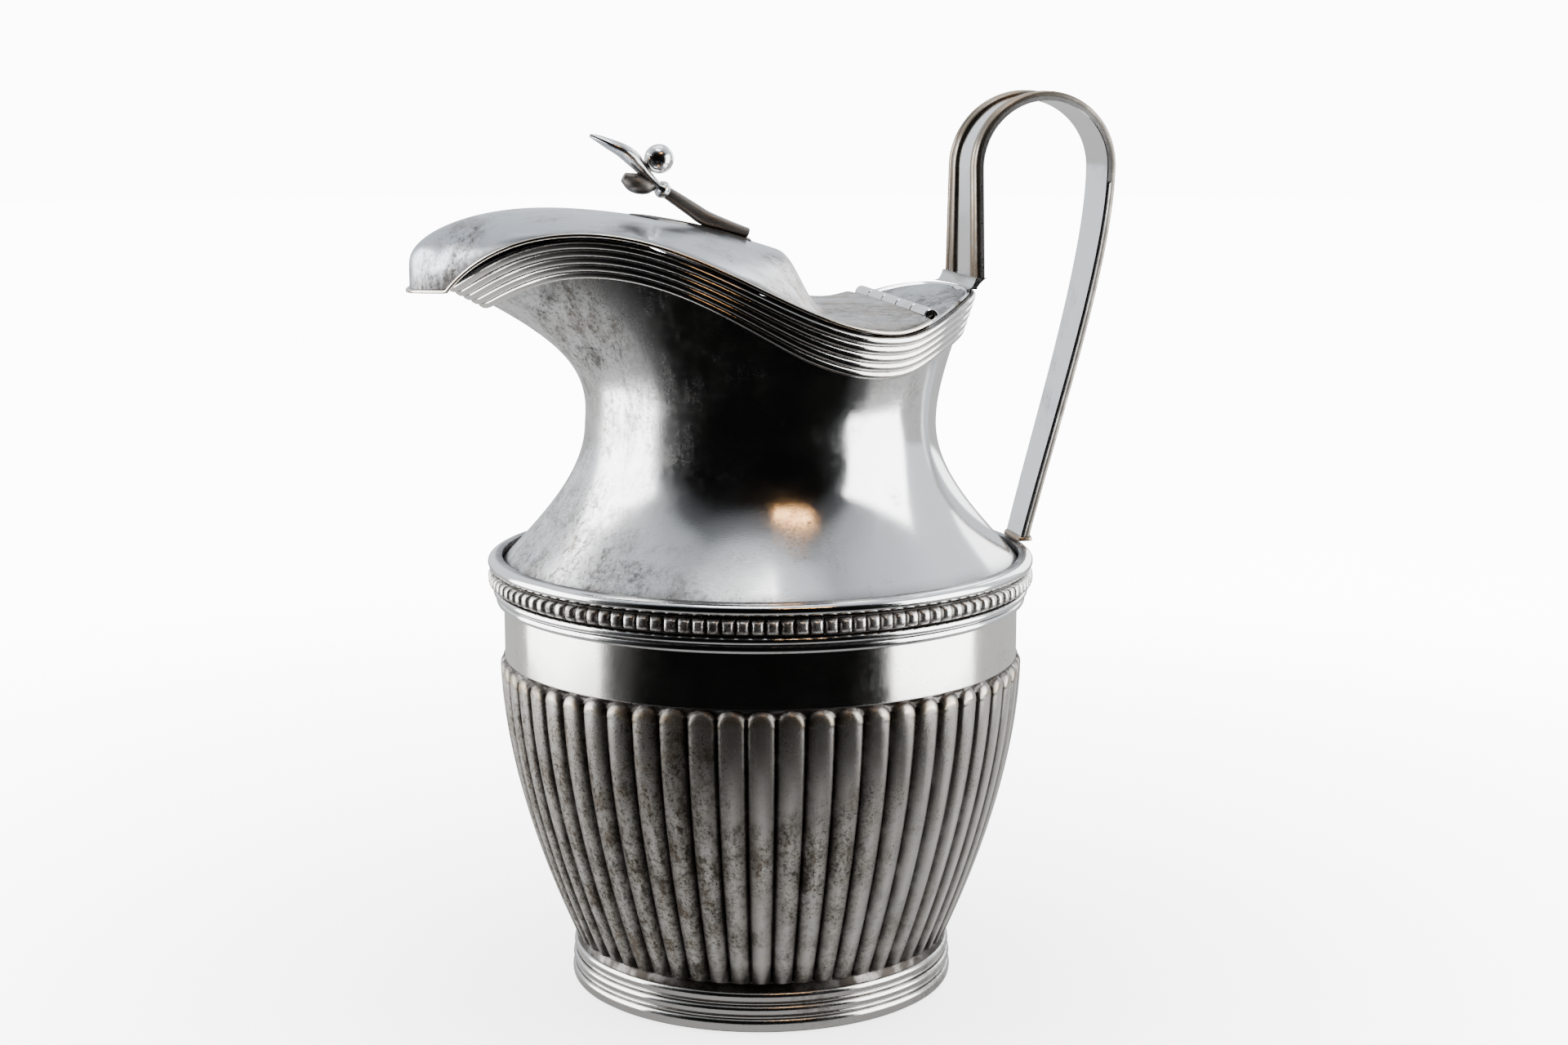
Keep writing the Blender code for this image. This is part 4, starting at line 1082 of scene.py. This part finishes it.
def make_ball():
    low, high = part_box("thumb_ball")
    middle_z = (low.z + high.z) / 2
    middle_x = (low.x + high.x) / 2 - AXIS.x
    radius = (high.z - low.z) / 2 + 0.0004
    work = bmesh.new()
    bmesh.ops.create_icosphere(work, subdivisions=5, radius=radius)
    work.verts.ensure_lookup_table()
    points = [(v.co.x + middle_x, v.co.y, v.co.z * 0.985 + middle_z) for v in work.verts]
    work.verts.index_update()
    faces = [[v.index for v in face.verts] for face in work.faces]
    work.free()
    shade = [max(0.0, (middle_z - z) / radius - 0.55) for _, _, z in points]
    place_piece("thumb_ball", points, faces, mirror_silver, "lid", {"patina_and_shade": shade})


make_ball()


# ---------------------------------------- handle
# A strap of thick sheet bent to a high loop. A pair of reeds is soldered along each edge of its
# outer face. It stands on a block at the rim and comes down on a pad on the shoulder wire.

STRAP_WIDTHS = (0.0290, 0.0170, 0.0125)
STRAP_THICKNESS = 0.0014
BORDER_LOW = 0.0012
HANDLE_THICKNESS = 0.0025
LEG_X = MOUTH_REAR + 0.0001
LOOP_RADIUS = 0.01735
SOCKET_TOP = ROOT_HEIGHT + 0.0032
LEG_HEIGHT = 0.0275
LOOP_Z = SOCKET_TOP + LEG_HEIGHT
PAD_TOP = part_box("handle_foot")[1].z
SOCKET_SEAT = 0.0028


def handle_path():
    """Inner face of the strap with its outward normals, and the width at each place."""
    leg = np.linspace(SOCKET_TOP - 0.0003, LOOP_Z, 30)[:-1]
    places = [(LEG_X, z) for z in leg]
    normals = [(-1, 0)] * len(leg)
    for turn in np.linspace(math.pi, 0, 64):
        out = (math.cos(turn), math.sin(turn))
        places.append((LEG_X + LOOP_RADIUS * (1 + out[0]), LOOP_Z + LOOP_RADIUS * out[1]))
        normals.append(out)
    top = np.array((LEG_X + 2 * LOOP_RADIUS, LOOP_Z))
    end = np.array((MOULDING_INNER + 0.0037 - HANDLE_THICKNESS + 0.0008, PAD_TOP - 0.0002))
    drop = top[1] - end[1]
    run = top[0] - end[0]
    high = (top[0], top[1] - 0.25 * drop)
    low = (end[0] + 0.35 * run, end[1] + 0.31 * drop)
    fall = bezier((top, high, low, end), np.linspace(0, 1, 90))
    way = np.gradient(fall, axis=0)
    way /= np.linalg.norm(way, axis=1, keepdims=True)
    places += [tuple(place) for place in fall[1:]]
    normals += [(-step[1], step[0]) for step in way[1:]]
    normals[-1] = (1, 0)
    places = np.array(places)
    lengths = np.concatenate(([0], np.cumsum(np.linalg.norm(np.diff(places, axis=0), axis=1))))
    knots = (0, LEG_HEIGHT + math.pi * LOOP_RADIUS, lengths[-1])
    return places, np.array(normals), np.interp(lengths, knots, STRAP_WIDTHS)


def along_handle(section):
    """Carries a section of (share of half width, height over the inner face) along the handle."""
    places, normals, widths = handle_path()
    pairs = np.array(section, float)
    grid = np.empty((len(places), len(pairs), 3))
    grid[..., 0] = places[:, :1] + normals[:, :1] * pairs[:, 1]
    grid[..., 1] = widths[:, None] / 2 * pairs[:, 0]
    grid[..., 2] = places[:, 1:] + normals[:, 1:] * pairs[:, 1]
    return grid


def make_strap():
    soft = 0.00025
    inside = [(s, 0.0) for s in np.linspace(-0.975, 0.975, 15)]
    outside = [(s, STRAP_THICKNESS) for s in np.linspace(0.975, -0.975, 41)]
    section = inside + [(1, soft), (1, STRAP_THICKNESS - soft)] + outside
    section += [(-1, STRAP_THICKNESS - soft), (-1, soft)]
    grid = along_handle(section)
    near_border = [max(0.0, 0.75 - abs(abs(s) - 0.5) * 12) for s, _ in outside]
    # The strap's four side-face points get painted shade (0.85). The marks beside the borders are
    # dark joints.
    shade = [0.06] * 15 + [0.85, 0.85] + near_border + [0.85, 0.85]
    layers = {"patina_and_shade": np.tile(shade, len(grid))}
    faces = capped_faces(grid)
    place_piece("handle_strap", grid, faces, mirror_silver, "body", layers)


make_strap()


def make_borders():
    low = BORDER_LOW
    rise = HANDLE_THICKNESS - BORDER_LOW
    for name, side in (("handle_border_left", 1), ("handle_border_right", -1)):
        # Painted shade: the border's base and outer edge are made dark (0.8 and 0.9), and the reed
        # crests are held at 0.45. The darkening where the reeds meet is a dark joint.
        section = [(0.52 * side, low), (1.0 * side, low)]
        shade = [0.8, 0.9]
        for start, end in ((1.0, 0.80), (0.79, 0.52)):
            middle = (start + end) / 2
            half = (start - end) / 2
            for turn in np.radians(np.linspace(12, 168, 9)):
                up = low + rise * (0.25 + 0.75 * math.sin(turn))
                section.append(((middle + half * math.cos(turn)) * side, up))
                shade.append(max(0.45, 1.0 - 0.7 * math.sin(turn)))
        grid = along_handle(section)
        faces = capped_faces(grid)
        rub = np.tile([0.6 * (s < 0.5) for s in shade], len(grid))
        layers = {"patina_and_shade": np.tile(shade, len(grid)), "rub": rub}
        place_piece(name, grid, faces, rubbed_silver, "body", layers)


make_borders()


def make_socket():
    """A block on the rim, hollowed at the front and curved back under the strap."""
    low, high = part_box("handle_socket")
    half = (high.y - low.y) / 2
    rows = []
    for y in np.linspace(-half, half, 49):
        rim_x = MOUTH_REAR * math.sqrt(1 - (y / MOUTH_HALF_WIDTH) ** 2)
        seat = ROOT_HEIGHT + 0.0003
        front = LEG_X - HANDLE_THICKNESS - 0.0002
        back = LEG_X + 0.0002
        foot = rim_x - SOCKET_SEAT
        section = [(foot, seat), (rim_x, seat)]
        for share in np.linspace(0, 1, 9):
            curve = share**1.6
            section.append((rim_x + (back - rim_x) * curve, seat + (SOCKET_TOP - seat) * share))
        for share in np.linspace(1, 0, 9):
            curve = share**0.35
            section.append((foot + (front - foot) * curve, seat + (SOCKET_TOP - seat) * share))
        rows.append([(x, y, z) for x, z in section])
    grid = np.array(rows)
    # Dark joints where the block meets the rim and the strap (0.7 to 0.8). The back and front faces
    # between get painted shade (0.25 to 0.3).
    shade = np.tile([0.7, 0.7] + [0.3] * 9 + [0.8, 0.6, 0.4] + [0.25] * 5 + [0.7], len(rows))
    faces = capped_faces(grid)
    place_piece("handle_socket", grid, faces, satin_silver, "body", {"patina_and_shade": shade})


make_socket()


def make_pad():
    low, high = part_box("handle_foot")
    centre_x = (low.x + high.x) / 2 - AXIS.x
    half_x = (high.x - low.x) / 2
    half_y = (high.y - low.y) / 2
    turns = np.arange(64) * math.tau / 64
    wide = np.sign(np.cos(turns)) * np.abs(np.cos(turns)) ** 0.4
    deep = np.sign(np.sin(turns)) * np.abs(np.sin(turns)) ** 0.4
    rows = []
    for share, grow in ((0, 0.97), (0.15, 1.0), (0.6, 0.97), (0.85, 0.92), (1.0, 0.86)):
        x = centre_x + half_x * grow * wide
        y = half_y * grow * deep
        rows.append(np.stack((x, y, 0 * x + low.z + (high.z - low.z) * share), -1))
    grid = np.array(rows)
    shade = np.repeat((0.9, 0.6, 0.2, 0.3, 0.6), 64)
    layers = {"patina_and_shade": shade, "rub": shade * 0 + 0.7}
    place_piece("handle_foot", grid, capped_faces(grid), rubbed_silver, "body", layers)


make_pad()
